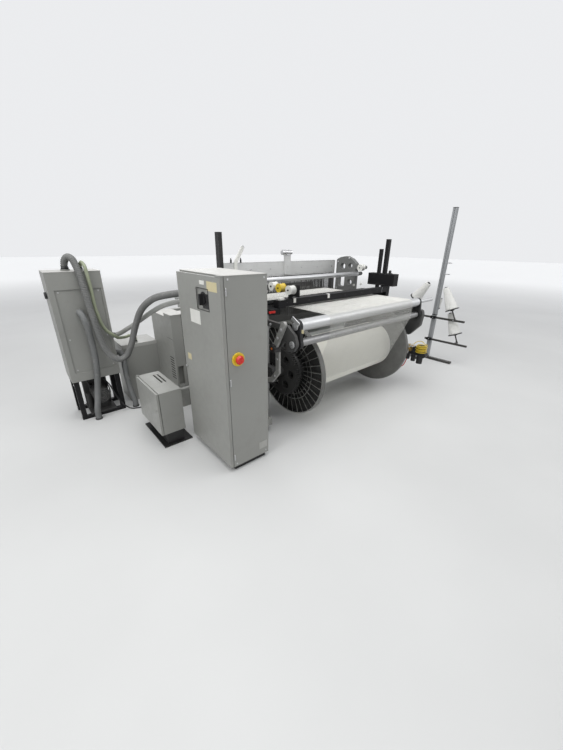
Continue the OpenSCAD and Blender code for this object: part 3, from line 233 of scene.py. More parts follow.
def plastic(name, colour, rough=0.35, grain=0.08):
    n = Look(name)
    base = n.mix(n.spots((6, 4), 0.35), tint(colour, 0.93), tint(colour, 1.05))
    base = n.mix(n.spots((38, 5, 0.65), 0.6, 0.8, 0, 0.12), base, (0.1, 0.09, 0.08))
    n.finish(base, n.spots((30, 2), 0.3, 0.7, rough - 0.05, rough + 0.08), n.noise(600, 2), grain, 0.0004)


def yarn(name, colour, axis=0, pitch=0.0011, cross=0.0):
    """Parallel ends side by side: fine ridges across one axis, painted shade in the grooves between them, and
    slow changes of tone.
    """
    n = Look(name)
    place = n.axes()
    ridge = n.math("SINE", n.math("MULTIPLY", place[axis], 2 * math.pi / pitch))
    stretch = [2, 2, 2]
    stretch[axis] = 260
    base = n.mix(n.spots((1.0, 4, 0.6, tuple(stretch))), tint(colour, 0.93), tint(colour, 1.03))
    # painted shade in the grooves between the ends: darker where the ridge wave is low
    base = n.mix(n.ramp(ridge, -1.0, 0.2, 0.28, 0.0), base, tint(colour, 0.72))
    base = n.mix(n.spots((3, 5), 0.45, 0.75, 0, 0.12), base, tint(colour, 0.8))
    bump = n.math("ADD", ridge, n.math("MULTIPLY", n.noise(300, 2), 0.6))
    if cross:
        other = n.math("SINE", n.math("MULTIPLY", place[1 - axis], 2 * math.pi / cross))
        bump = n.math("ADD", bump, other)
    n.finish(base, 0.75, bump, 0.5, pitch * 0.35, Sheen_Weight=0.25, Sheen_Roughness=0.5)


def warp_yarn():
    """Ends side by side, each with its own tone all along its length."""
    n = Look("warp_yarn")
    ends = n.spots((1.0, 5, 0.75, (220, 0.8, 0.8)), 0.32, 0.68)
    base = n.mix(ends, (0.50, 0.50, 0.475), (0.82, 0.815, 0.775))
    n.finish(base, 0.7, n.noise(400, 2), 0.15, 0.0004, Sheen_Weight=0.2, Sheen_Roughness=0.5)


def flange_paint():
    """Castings grey on their smooth inner faces and rims, and nearly black on their ribbed sides: painted
    shade among the ribs.
    """
    n = Look("flange_paint")
    place = n.axes()
    inner = n.ramp(n.math("ABSOLUTE", place["X"]), 0.6332, 0.6336, 1, 0)
    rim = n.ramp(n.away(place, *BEAM), 0.4176, 0.4184)
    grain = n.spots((7, 6, 0.6))
    # painted shade: the ribbed sides nearly black, darker than the castings' own grey
    dark = n.mix(grain, (0.025, 0.025, 0.024), (0.05, 0.05, 0.048))
    light = n.mix(grain, (0.11, 0.11, 0.105), (0.17, 0.17, 0.162))
    base = n.mix(n.math("MAXIMUM", inner, rim), dark, light)
    base = n.mix(n.rubbed((0.003, 0.07), (25, 4), 0.4, 0.62, 0.35), base, (0.4, 0.4, 0.38))
    n.finish(base, n.spots((12, 3), 0.3, 0.7, 0.4, 0.58), n.noise(150, 5, 0.7), 0.3, 0.001, 0.002,
             Specular_IOR_Level=0.35)


def bracket_paint():
    """Dark castings, with the bright lever and bent bar of the backrest's spring on their outside."""
    n = Look("bracket_paint")
    place = n.axes()
    boss = n.ramp(n.away(place, *KNOB), 0.0345, 0.0348)
    lever = n.math("MULTIPLY", n.ramp(place["X"], -0.9885, -0.9882, 1, 0), boss)
    bar = n.math("MULTIPLY", n.ramp(place["X"], -0.958, -0.957, 1, 0), n.ramp(place["Z"], 0.76, 0.761, 1, 0))
    dark = n.mix(n.spots((3, 5)), (0.04, 0.04, 0.04), (0.075, 0.075, 0.073))
    light = n.mix(n.spots((24, 5, 0.6), 0.35), (0.27, 0.27, 0.26), (0.44, 0.44, 0.42))
    base = n.mix(n.math("MAXIMUM", lever, bar), dark, light)
    base = n.mix(n.rubbed((0.004, 0.07), (25, 4), 0.4, 0.62, 0.4), base, (0.42, 0.41, 0.39))
    n.finish(base, n.spots((12, 3), 0.3, 0.7, 0.36, 0.56), n.noise(150, 5, 0.7), 0.3, 0.001, 0.003,
             Specular_IOR_Level=0.35)


def heald_metal():
    """Bright rails above, and wires that lie in their own shade below."""
    n = Look("heald_metal")
    grain = n.noise(9, 4, 0.6, (1, 60, 60))
    rail = n.mix(n.ramp(grain, 0.3, 0.7), (0.58, 0.585, 0.58), (0.68, 0.685, 0.675))
    rail = n.mix(n.spots((14, 6, 0.65), 0.58, 0.8, 0, 0.25), rail, (0.2, 0.18, 0.15))
    base = n.mix(n.ramp(n.axes()["Z"], 1.204, 1.210), (0.10, 0.10, 0.098), rail)
    n.finish(base, n.spots((30, 4), 0.3, 0.7, 0.36, 0.52), grain, 0.12, 0.0004, Metallic=0.3)


def creel_paint():
    """Grey aluminium post on dark feet and arms."""
    n = Look("creel_paint")
    place = n.axes()
    off = (n.math("ABSOLUTE", n.math("SUBTRACT", place[i], POST[i] * MM)) for i in (0, 1))
    arms = n.ramp(n.math("MAXIMUM", *off), 0.0253, 0.0256)
    foot = n.ramp(place["Z"], 0.040, 0.041, 1, 0)
    lines = n.noise(9, 4, 0.6, (90, 90, 1))
    post = n.mix(n.ramp(lines, 0.3, 0.7), (0.27, 0.28, 0.29), (0.36, 0.37, 0.38))
    arm = n.mix(n.spots((12, 5)), (0.03, 0.029, 0.028), (0.07, 0.068, 0.062))
    base = n.mix(n.math("MAXIMUM", arms, foot), post, arm)
    n.finish(base, n.spots((22, 3), 0.3, 0.7, 0.36, 0.54), lines, 0.12, 0.0005, 0.0015, Metallic=0.3)


def rubber(name, colour):
    n = Look(name)
    base = n.mix(n.spots((5, 5), 0.35), tint(colour, 0.85), tint(colour, 1.12))
    base = n.mix(n.spots((26, 5, 0.6), 0.56, 0.78, 0, 0.35), base, (0.38, 0.37, 0.34))
    n.finish(base, n.spots((20, 3), 0.3, 0.7, 0.45, 0.67), n.noise(240, 4), 0.2, 0.0006)


COVER = (0.30, 0.303, 0.285)
paint("cover_paint", COVER, 0.4, 0.12)
# main cabinet and small box: near-black at the foot, partly plinth and partly painted shade of the gap
# beneath
paint("main_paint", COVER, 0.4, 0.12, plinth_and_shade_top=0.04)
paint("box_paint", COVER, 0.4, 0.12, plinth_and_shade_top=0.12)
paint("aux_paint", (0.255, 0.258, 0.242), 0.45, 0.2)
# painted light: a lighter copy of the cover paint for the tops of cabinets and covers, standing in for the
# light from above
paint("top_paint", (0.45, 0.447, 0.425), 0.45, 0.3)
paint("lid_paint", (0.42, 0.42, 0.40), 0.45, 0.2)
paint("frame_paint", (0.40, 0.41, 0.40), 0.45, 0.4)
paint("dark_paint", (0.022, 0.022, 0.023), 0.5, 0.15, wear=0.4, gloss=0.3)
paint("black_paint", (0.009, 0.009, 0.01), 0.5, 0.1, (0.05, 0.045, 0.04), 0.3, gloss=0.2)
bracket_paint()
flange_paint()
creel_paint()
cast("cast_grey", (0.15, 0.153, 0.15), 0.4)
cast("cast_dark", (0.04, 0.04, 0.039), 0.35)
metal("rib_metal", (0.6, 0.6, 0.58), 0.4, (30, 30, 30), 0.2, 0.5)
metal("steel", (0.55, 0.55, 0.56))
metal("polished", (0.56, 0.565, 0.57), 0.42, (0.6, 90, 90), 0.08, 0.3)
metal("roll_grey", (0.30, 0.30, 0.30), 0.42, (0.6, 90, 90), 0.1, 0.3)
metal("wires", (0.2, 0.2, 0.195), 0.42, (60, 60, 4))
# painted shade: the heald wires darker than bare steel, for the shade they lie in
metal("heald_wire", (0.16, 0.16, 0.155), 0.45, (60, 60, 4), 0.08, 0.1)
metal("brass", (0.62, 0.44, 0.16), 0.35, (30, 30, 30), 0.2, 0.35, (0.12, 0.09, 0.05))
heald_metal()
warp_yarn()
yarn("yarn", (0.80, 0.79, 0.71))
yarn("package_yarn", (0.88, 0.87, 0.79))
yarn("cone_yarn", (0.80, 0.80, 0.77), 2, 0.0016)
yarn("yellow_yarn", (0.72, 0.52, 0.06), 0, 0.0016)
yarn("cloth", (0.82, 0.81, 0.76), cross=0.0012)
rubber("hose", (0.17, 0.175, 0.175))
rubber("duct", (0.17, 0.172, 0.168))
rubber("green_hose", (0.29, 0.32, 0.22))
rubber("hose_grey", (0.36, 0.365, 0.35))
plastic("white_plastic", (0.78, 0.78, 0.74))
plastic("black_plastic", (0.014, 0.014, 0.015), 0.38)
plastic("yellow", (0.78, 0.56, 0.03))
plastic("red", (0.62, 0.018, 0.012), 0.28)
plastic("orange", (0.75, 0.2, 0.03), 0.3)
plastic("green", (0.02, 0.3, 0.09), 0.3)
plastic("tape", (0.62, 0.55, 0.34), 0.6, 0.15)

LOOK_OF = {row["node"]: row["material_slot"] for row in frame["record"]["subparts"]}
LOOK_OF.update(aux_cabinet="aux_paint", aux_door="aux_paint", main_cabinet="main_paint",
               small_box="box_paint", rear_brackets="bracket_paint", beam_flanges="flange_paint",
               creel_stand="creel_paint", pump_unit="cast_dark", right_guide_block="cast_grey",
               guide_roll="roll_grey", press_roller="polished")


def dress_nodes():
    for node, obj in NODES.items():
        if not obj.material_slots:
            obj.data.materials.append(None)
        for slot in obj.material_slots:
            slot.material = MATERIALS[LOOK_OF[node]]


# ---- shapes
class Shape:
    """Collects faces, in millimetres, and turns them into one piece."""

    def __init__(self):
        self.verts, self.faces = [], []

    def add(self, verts, faces):
        base = len(self.verts)
        self.verts += [tuple(v) for v in verts]
        self.faces += [tuple(base + i for i in face) for face in faces]
        return self

    def box(self, lo, hi):
        (x0, y0, z0), (x1, y1, z1) = lo, hi
        verts = [(x, y, z) for x in (x0, x1) for y in (y0, y1) for z in (z0, z1)]
        sides = [(0, 1, 3, 2), (4, 6, 7, 5), (0, 4, 5, 1), (2, 3, 7, 6), (0, 2, 6, 4), (1, 5, 7, 3)]
        return self.add(verts, sides)

    def rings(self, rings, loop=False):
        """Joins rings of equal length; a loop joins the last to the first, others get end caps."""
        sides, rows = len(rings[0]), len(rings)
        faces = []
        for j in range(rows if loop else rows - 1):
            for k in range(sides):
                n, m = (k + 1) % sides, (j + 1) % rows
                faces.append((j * sides + k, j * sides + n, m * sides + n, m * sides + k))
        if not loop:
            faces += [tuple(reversed(range(sides))), tuple(range((rows - 1) * sides, rows * sides))]
        return self.add([v for ring in rings for v in ring], faces)

    def turned(self, start, way, profile, sides=32, loop=False):
        """Turns (distance along way, radius) pairs round a line; a loop gives a hollow ring."""
        way = Vector(way).normalized()
        side = way.orthogonal().normalized()
        other = way.cross(side)
        turn = [2 * math.pi * (k + 0.5) / sides for k in range(sides)]
        out = [side * math.cos(a) + other * math.sin(a) for a in turn]
        return self.rings([[Vector(start) + way * d + ray * r for ray in out] for d, r in profile], loop)

    def each(self, places, way, profile, sides=32, loop=False):
        """The same turned form at every place."""
        for place in places:
            self.turned(place, way, profile, sides, loop)
        return self

    def tube(self, path, radius, sides=10):
        """A tube along a path; radius is one number or one per point."""
        path = [Vector(p) for p in path]
        radii = radius if isinstance(radius, list) else [radius] * len(path)
        way = (path[1] - path[0]).normalized()
        side = way.orthogonal().normalized()
        rings = []
        for i, point in enumerate(path):
            way = (path[min(i + 1, len(path) - 1)] - path[max(i - 1, 0)]).normalized()
            side = (side - way * side.dot(way)).normalized()
            other = way.cross(side)
            rings.append([point + (side * math.cos(a) + other * math.sin(a)) * radii[i]
                          for a in (2 * math.pi * k / sides for k in range(sides))])
        return self.rings(rings)

    def plate(self, face, lo, hi, depth, corner=4.0):
        """A thin plate with round corners on a plane of X, lying towards -X from it."""
        (y0, z0), (y1, z1) = lo, hi
        loop = []
        for cy, cz, start in ((y1 - corner, z1 - corner, 0), (y0 + corner, z1 - corner, 90),
                              (y0 + corner, z0 + corner, 180), (y1 - corner, z0 + corner, 270)):
            turn = [math.radians(start + a) for a in (0, 30, 60, 90)]
            loop += [(cy + corner * math.cos(a), cz + corner * math.sin(a)) for a in turn]
        return self.rings([[(face - d, y, z) for y, z in loop] for d in (0, depth)])

    def done(self, name, finish, body="loom", bevel=0.0, replaces=(), angle=35):
        """The piece, with its finish, riding on a body unless that is None."""
        mesh = bpy.data.meshes.new(name)
        mesh.from_pydata([Vector(v) * MM for v in self.verts], [], self.faces)
        work = bmesh.new()
        work.from_mesh(mesh)
        bmesh.ops.recalc_face_normals(work, faces=work.faces)
        work.to_mesh(mesh)
        work.free()
        mesh.shade_smooth()
        mesh.set_sharp_from_angle(angle=math.radians(angle))
        mesh.materials.append(MATERIALS[finish])
        obj = bpy.data.objects.new(name, mesh)
        scene.collection.objects.link(obj)
        if bevel:
            edge = obj.modifiers.new("edges", "BEVEL")
            edge.width, edge.segments, edge.limit_method = bevel * MM, 2, "ANGLE"
        if body:
            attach(obj, body)
        if replaces:
            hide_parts(*replaces)
        return obj


def smooth_path(points, step):
    """A smooth curve through points, with one point about every step."""
    points = [Vector(p) for p in points]
    gaps = [(b - a).length for a, b in zip(points, points[1:])]
    ways = [(b - a) / gap for a, b, gap in zip(points, points[1:], gaps)]
    slopes = [ways[0]]
    for before, after, g0, g1 in zip(ways, ways[1:], gaps, gaps[1:]):
        slopes.append((before * g1 + after * g0) / (g1 + g0))
    slopes.append(ways[-1])
    out = []
    for i, gap in enumerate(gaps):
        count = max(1, round(gap / step))
        for k in range(count):
            t = k / count
            out.append(points[i] * (2 * t ** 3 - 3 * t ** 2 + 1)
                       + slopes[i] * gap * (t ** 3 - 2 * t ** 2 + t)
                       + points[i + 1] * (3 * t ** 2 - 2 * t ** 3)
                       + slopes[i + 1] * gap * (t ** 3 - t ** 2))
    return out + [points[-1]]


# ---- warp and cloth
WARP_Z = 1031.0
WARP_HALF = 624  # half the width that the drawn ends cover
ENDS = 520  # ends drawn; each stands for several


def arc(centre, radius, start, end, steps):
    angles = (math.radians(start + (end - start) * i / steps) for i in range(steps + 1))
    return [(centre[0] + radius * math.cos(a), centre[1] + radius * math.sin(a)) for a in angles]


def threads(path, count, width, half, seed):
    """Ends of yarn side by side along a path of (y, z) points, each a thin three-sided prism."""
    rng = random.Random(seed)
    shape = Shape()
    normals = []
    for i in range(len(path)):
        a, b = path[max(i - 1, 0)], path[min(i + 1, len(path) - 1)]
        d = math.hypot(b[0] - a[0], b[1] - a[1])
        normals.append((-(b[1] - a[1]) / d, (b[0] - a[0]) / d))
    for k in range(count):
        x = -half + 2 * half * (k + 0.5) / count + rng.uniform(-0.5, 0.5)
        lift = rng.uniform(-0.15, 0.15)
        w = width * rng.uniform(0.85, 1.15) / 2
        rings = []
        for (y, z), (ny, nz) in zip(path, normals):
            y, z = y + ny * lift, z + nz * lift
            rings.append([(x - w, y, z), (x + w, y, z), (x, y + ny * w * 1.1, z + nz * w * 1.1)])
        shape.rings(rings)
    return shape


def make_warp():
    """The ends from the package over the backrest, and on to the healds and the fell."""
    rear = [(-807.1, 383.3), (-905, 615), (-1003.2, 848.1)] + arc(GUIDE, 30.8, 195, 179.6, 2) + \
        arc(WHIP, 45, 179.6, 120, 4)
    veil = threads(rear, ENDS, 0.55, WARP_HALF, 3).done("warp_veil", "warp_yarn", None, angle=80)
    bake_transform(veil)
    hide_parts("warp_sheet_rear")
    top = arc(WHIP, 45, 120, 90, 3) + [(y, WARP_Z) for y in (-860, -740, -630, -521)]
    sheet = threads(top, ENDS, 0.78, WARP_HALF, 5).done("warp_top", "warp_yarn", None, angle=80)
    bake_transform(sheet)
    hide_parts("warp_sheet_top")
    inner = [(-412, WARP_Z), (-200, WARP_Z - 0.4), (0, WARP_Z - 0.4), (188, WARP_Z)]
    threads(inner, ENDS, 0.9, WARP_HALF, 7).done("warp_inner", "warp_yarn", angle=80)
    fell = [(247, WARP_Z), (400, WARP_Z - 0.3), (529, WARP_Z)]
    threads(fell, 420, 1.2, 606, 9).done("warp_fell", "warp_yarn", angle=80)


def box_mm(node):
    """A solid's low and high corners, in millimetres."""
    return [Vector(corner) * 1000 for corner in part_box(node)]


def make_packages():
    """Wound yarn and cloth, a little uneven along their lengths."""
    rng = random.Random(11)
    lo, hi = box_mm("yarn_package")
    length, outer, core, steps = hi.x - lo.x, (hi.z - lo.z) / 2, 112, 230
    profile = [(0.5, core), (0.5, outer - 2.5)]
    ridge = 0.0
    for i in range(steps + 1):
        ridge = 0.75 * ridge + rng.uniform(-0.28, 0.28)
        profile.append((1.5 + (length - 3) * i / steps, outer - 0.75 + max(-0.7, min(0.7, ridge))))
    profile += [(length - 0.5, outer - 2.5), (length - 0.5, core)]
    Shape().turned((lo.x, *BEAM), RIGHT, profile, 120, True).done(
        "yarn_winding", "package_yarn", "warp_beam", replaces=("yarn_package",), angle=60)
    lo, hi = box_mm("cloth_roll")
    mid, radius, width = (lo + hi) / 2, (hi.z - lo.z) / 2, 1210
    left, right = mid.x - width / 2, mid.x + width / 2
    profile = [(left, radius - 30), (left, radius - 0.8)]
    for i in range(61):
        profile.append((left + 2 + (width - 4) * i / 60, radius - 0.5 + rng.uniform(-0.4, 0.1)))
    profile += [(right, radius - 0.8), (right, radius - 30)]
    Shape().turned((0, mid.y, mid.z), RIGHT, profile, 96, True).done("cloth_winding", "cloth", "cloth_beam")


def make_cloth():
    """The cloth from its fell over the breast beam: a thin sheet with faint waves."""
    rng = random.Random(21)
    nose, half, cells, level = (861, 985.4), 604, 40, 12
    path = [(530 + 331 * i / level, WARP_Z) for i in range(level)] + arc(nose, 45.6, 90, 0, 10) + \
        [(906.6, 985.4 - 623 * i / 14) for i in range(1, 15)]
    verts, faces, row = [], [], cells + 1
    for j, (y, z) in enumerate(path):
        for i in range(row):
            wave = 0.35 * math.sin(i * 1.3 + j * 0.4) * (0.3 + abs(i / cells - 0.5))
            wave = max(0.0, wave + rng.uniform(-0.06, 0.06))
            x, a = -half + 2 * half * i / cells, j * row + i
            verts.append((x, y, z + wave) if j < level else (x, y + wave, z))
            if i < cells and j < len(path) - 1:
                faces.append((a, a + 1, a + row + 1, a + row))
    sheet = Shape().add(verts, faces).done("cloth_sheet", "cloth", replaces=("cloth",), angle=80)
    skin = sheet.modifiers.new("thickness", "SOLIDIFY")
    skin.thickness, skin.offset = 0.0008, 0


# ---- conduit and hoses
LARGE = [(-2051, 640, 1322.3), (-2051, 640, 1352), (-2040, 624, 1394), (-2017, 592, 1418),
         (-2000, 558, 1405), (-1988, 526, 1356), (-1976, 482, 1210), (-1964, 462, 1003), (-1942, 455, 770),
         (-1916, 452, 655), (-1878, 446, 578), (-1826, 430, 545), (-1774, 402, 572), (-1734, 366, 655),
         (-1680, 300, 850), (-1640, 180, 1015), (-1590, 40, 1110), (-1530, -130, 1160), (-1452, -255, 1180),
         (-1430, -309.7, 1180), (-1430, -349.7, 1180)]
GREEN = [(-1950, 575, 1322.3), (-1950, 575, 1348), (-1941, 548, 1378), (-1931, 512, 1356),
         (-1927, 498, 1290), (-1923, 493, 1180), (-1917, 491, 980), (-1868, 503, 806), (-1812, 512, 748),
         (-1775, 565, 712), (-1700, 625, 692), (-1625, 690, 678), (-1590, 700, 645), (-1590, 700, 612.3)]
GREY = [(-1807.7, 600, 735), (-1780, 600, 735), (-1690, 500, 800), (-1620, 350, 890), (-1560, 180, 985),
        (-1500, -20, 1070), (-1400, -200, 1115), (-1350, -309.7, 1125), (-1350, -349.7, 1125)]
DROP = [(-2035, 525.7, 985), (-2035, 500, 985), (-2026, 466, 950), (-2014, 462, 880), (-2008, 472, 780),
        (-2012, 482, 500), (-2060, 482, 200), (-2085, 482, 60), (-2085, 482, 12.3)]
FLOOR = [(-1807.7, 610, 565), (-1785, 610, 565), (-1757, 602, 515), (-1760, 585, 430), (-1762, 568, 300),
         (-1752, 540, 150), (-1740, 525, 60), (-1740, 525, 12.3)]
PUMP = [(-2007, 700, 258.4), (-2007, 700, 290), (-1970, 680, 318), (-1925, 610, 270), (-1906, 540, 195),
        (-1880, 512, 120), (-1840, 492, 50), (-1800, 480, 14), (-1730, 455, 7), (-1640, 445, 7),
        (-1560, 400, 7), (-1500, 340, 9), (-1460, 308, 17), (-1434, 300, 24), (-1412.3, 300, 24)]
# Where a hose enters a cabinet or cover: point, way out, radius and height of its gland
GLANDS = [((-2051, 640, 1310), UP, 27, 30), ((-1950, 575, 1310), UP, 15, 24),
          ((-1820, 600, 735), RIGHT, 23, 26), ((-1820, 610, 565), RIGHT, 25, 26),
          ((-2035, 538, 985), FRONT, 23, 24), ((-1430, -350, 1180), BACK, 27, 26),
          ((-1350, -350, 1125), BACK, 23, 24), ((-1590, 700, 600), UP, 15, 22)]


def hose(name, route, radius, finish, pitch=0.0, depth=0.0, sides=14, replaces=()):
    """A smooth or corrugated hose along its route."""
    path = smooth_path(route, pitch / 4 if pitch else 16)
    radii = [radius - (depth if i % 4 >= 2 else 0) for i in range(len(path))] if pitch else radius
    obj = Shape().tube(path, radii, sides).done(name, finish, replaces=replaces, angle=75)


def nut(shape, start, way, radius, height):
    """A gland: round collar, six-sided nut and a lip."""
    start, way, r, h = Vector(start), Vector(way).normalized(), radius, height
    shape.turned(start, way, [(0, r * 1.12), (h * 0.25, r * 1.12), (h * 0.25, r)], 24)
    flats = [(0, r * 1.1), (0.8, r * 1.16), (h * 0.5, r * 1.16), (h * 0.56, r * 1.1)]
    shape.turned(start + way * h * 0.25, way, flats, 6)
    shape.turned(start + way * h * 0.8, way, [(0, r), (h * 0.5, r * 0.93), (h * 0.6, r * 0.8)], 24)


def make_hoses():
    hose("conduit_large", LARGE, 27, "duct", 13.0, 5.0, 18, ("large_conduit",))
    hose("hose_green", GREEN, 14, "green_hose", replaces=("slim_hoses",))
    hose("duct_grey", GREY, 20, "hose_grey", sides=16)
    hose("duct_drop", DROP, 26, "hose", 9.0, 3.4, 16)
    hose("duct_floor", FLOOR, 27, "hose", 9.0, 2.6, 16)
    hose("cable_pump", PUMP, 6, "black_plastic", sides=8)
    Shape().each([(-2085, 482, 0), (-1740, 525, 0)], UP, [(0, 30), (9, 30), (12, 27)], 28).done(
        "floor_sockets", "black_plastic")
    glands = Shape()
    for gland in GLANDS:
        nut(glands, *gland)
    glands.done("hose_glands", "black_plastic", angle=30)


# ---- cabinets and covers
def boxes(name, finish, bevel, *pairs, body="loom"):
    """One piece of plain boxes, each from its low to its high corner."""
    shape = Shape()
    for lo, hi in pairs:
        shape.box(lo, hi)
    shape.done(name, finish, body, bevel)


def around(centre, radius, count, turn=0.0):
    """Places on a circle that faces along X."""
    x, y, z = centre
    angles = (2 * math.pi * k / count + turn for k in range(count))
    return [(x, y + radius * math.cos(a), z + radius * math.sin(a)) for a in angles]


DOOR_FACE = -1540  # x of the outer face of the main cabinet's door


def make_door():
    """What sits on that door, and the ring of the stop beside it."""
    face = DOOR_FACE
    bezel = Shape()
    y0, y1, z0, z1, w = -815, -665, 1140, 1270, 4
    for lo, hi in (((y0 - w, z0 - w), (y1 + w, z0)), ((y0 - w, z1), (y1 + w, z1 + w)),
                   ((y0 - w, z0), (y0, z1)), ((y1, z0), (y1 + w, z1))):
        bezel.box((face - 2.5, *lo), (face + 0.5, *hi))
    bezel.box((face + 6.6, y0 + 4, z0 + 8), (face + 8.5, y0 + 92, z1 - 30))
    bezel.done("switch_bezel", "black_plastic", "main_door", 0.8)
    Shape().turned((face + 6.8, -740, 1205), LEFT, [(0, 46), (1.5, 46), (2.5, 44), (2.5, 37), (0, 37)], 40,
                   True).done("switch_collar", "dark_paint", "main_door")
    plates = Shape()
    for lo, hi in (((-687, 1033), (-545, 1123)), ((-775, 1295), (-715, 1319))):
        plates.plate(face, lo, hi, 0.8, 3)
        corners = [(face - 0.8, y, z) for y in (lo[0] + 5, hi[0] - 5) for z in (lo[1] + 5, hi[1] - 5)]
        plates.each(corners, LEFT, [(0, 2.2), (0.6, 1.8), (0.9, 0.8)], 10)
    plates.done("door_plates", "white_plastic", "main_door", angle=30)
    boxes("door_patches", "tape", 0, ((face - 0.4, -927, 1264), (face, -805, 1320)),
          ((face - 0.4, -488, 733), (face, -432, 780)), body="main_door")
    ring = [(0.1, 16.5), (0.1, 44.7), (7.4, 44.7), (8.7, 43.2), (8.7, 16.5)]
    Shape().turned((-1444, -965, 850), FRONT, ring, 48, True).done("stop_ring", "yellow")
    lock = Shape().turned((face - 9, -402, 668), LEFT, [(0, 9.5), (1.5, 9.5), (2.2, 8.5)], 24)
    lock.box((face - 11.6, -404, 664), (face - 11, -400, 672)).done("door_lock", "polished", "main_door")


def make_cabinets():
    # roof and lid slabs in the lighter top paint: painted light on the tops
    boxes("cabinet_roof", "top_paint", 1.2, ((-1516, -967, 1357), (-1203, -378, 1361)))
    boxes("aux_roof", "top_paint", 1.2, ((-2217, 528, 1306), (-1818, 806, 1311)))
    boxes("cover_lids", "top_paint", 1.2, ((-1402, 198, 927), (-1203.5, 362, 931.5)),
          ((-1402, 363, 897), (-1203.5, 702, 901.5)), ((-1203, 198, 927), (-1058, 362, 931.5)))
    boxes("low_cover_lid", "lid_paint", 2.0, ((-1742, 658, 566), (-1398, 962, 601.5)))
    make_door()
    front = [(x, -965, z) for x in (-1490, -1230) for z in (62, 1338)]
    side = [(DOOR_FACE, y, z) for y, z in ((-640, 80), (-880, 1320), (-520, 80), (-760, 1320))]
    Shape().each(front, FRONT, [(0, 6), (1.6, 6), (2.6, 4.2)], 20).each(
        side, LEFT, [(0, 4), (1.0, 4), (1.6, 2.6)], 14).done("cabinet_screws", "steel")
    boxes("sheet_seams", "black_paint", 0, ((-1302, 199.4, 4), (-1299.5, 200.1, 925)),
          ((-1400.6, 200, 700), (-1399.9, 360, 702.5)))
    Shape().each([(-1506, -967, z) for z in (96, 676, 1246)], UP, [(0, 2.5), (2, 4.5), (46, 4.5), (48, 2.5)],
                 16).done("door_hinges", "steel")
    boxes("side_plate", "lid_paint", 0.2, ((-1290, -965.7, 92), (-1218, -965, 150)))
    boxes("cover_louvres", "black_paint", 0.4,
          *(((-1400.9, 236, z), (-1399.5, 324, z + 9)) for z in range(300, 509, 26)))
    Shape().each([(x, 538, z) for x in (-2150, -1862) for z in (485, 760, 1150)], FRONT,
                 [(0, 5), (1.4, 5), (2.2, 3.6)], 16).done("aux_panel_trim", "steel")
    Shape().each(around((-2216.5, 680, 1120), 23, 10), LEFT, [(0, 4.6), (14, 4.6), (16, 3)], 12).done(
        "aux_knob_grip", "black_plastic", "valve_knob")


def make_stand():
    """The pump's fins, tank, pipes and guard, in the auxiliary cabinet's stand."""
    x0, z0 = -2007.5, 190  # the pump's axis
    fin = [(0, 68.4), (0, 73.5), (1.2, 74.5), (5, 74.5), (6.2, 73.5), (6.2, 68.4)]
    Shape().each([(x0, 604 + 17 * k, z0) for k in range(8)], BACK, fin, 56, True).turned(
        (x0, 576, z0), FRONT, [(0.2, 74), (6, 73), (15, 60), (20, 38), (21, 12)], 56).done(
        "pump_fins", "cast_dark")
    boxes("pump_tank", "cast_dark", 8.0, ((-2122, 765, 42), (-1912, 812, 336)))
    pipes = Shape()
    for x, top, r in ((-2090, 330, 7), (-2060, 250, 9), (-1948, 300, 8), (-1925, 240, 6)):
        route = [(x, 764, top), (x, 730, top + 4), (x + 14, 705, top - 60), (x + 10, 700, 120), (x, 702, 43)]
        pipes.tube(smooth_path(route, 12), r, 10)
    pipes.done("pump_pipes", "black_plastic")
    guard = Shape()
    for r in (24, 40, 56, 70):
        wire = [(0, r - 1.6), (3, r - 1.6), (3, r + 1.6), (0, r + 1.6)]
        guard.turned((x0, 558 if r < 60 else 562, z0), FRONT, wire, 40, True)
    for k in range(6):
        across, up = math.cos(math.pi * k / 3), math.sin(math.pi * k / 3)
        guard.tube([(x0 + 12 * across, 556, z0 + 12 * up), (x0 + 71 * across, 560, z0 + 71 * up)], 1.6, 6)
    guard.done("pump_guard", "wires")
    bolts("stand_bolts", [((-2205, y, z), LEFT, 7) for y in (560, 774) for z in (40, 350)])


def bolts(name, places, finish="steel"):
    """Six-sided heads on washers: (point, way, radius) each."""
    shape = Shape()
    for point, way, r in places:
        point, way = Vector(point), Vector(way).normalized()
        shape.turned(point, way, [(-0.5, r * 1.35), (r * 0.2, r * 1.35), (r * 0.28, r * 1.28)], 20)
        shape.turned(point + way * r * 0.25, way, [(0, r), (r * 0.55, r), (r * 0.7, r * 0.86)], 6)
    shape.done(name, finish, angle=25)


def flush(x, way, radius, *places):
    """Bolts of one size on a face of constant X, from their (y, z) places."""
    return [((x, y, z), way, radius) for y, z in places]


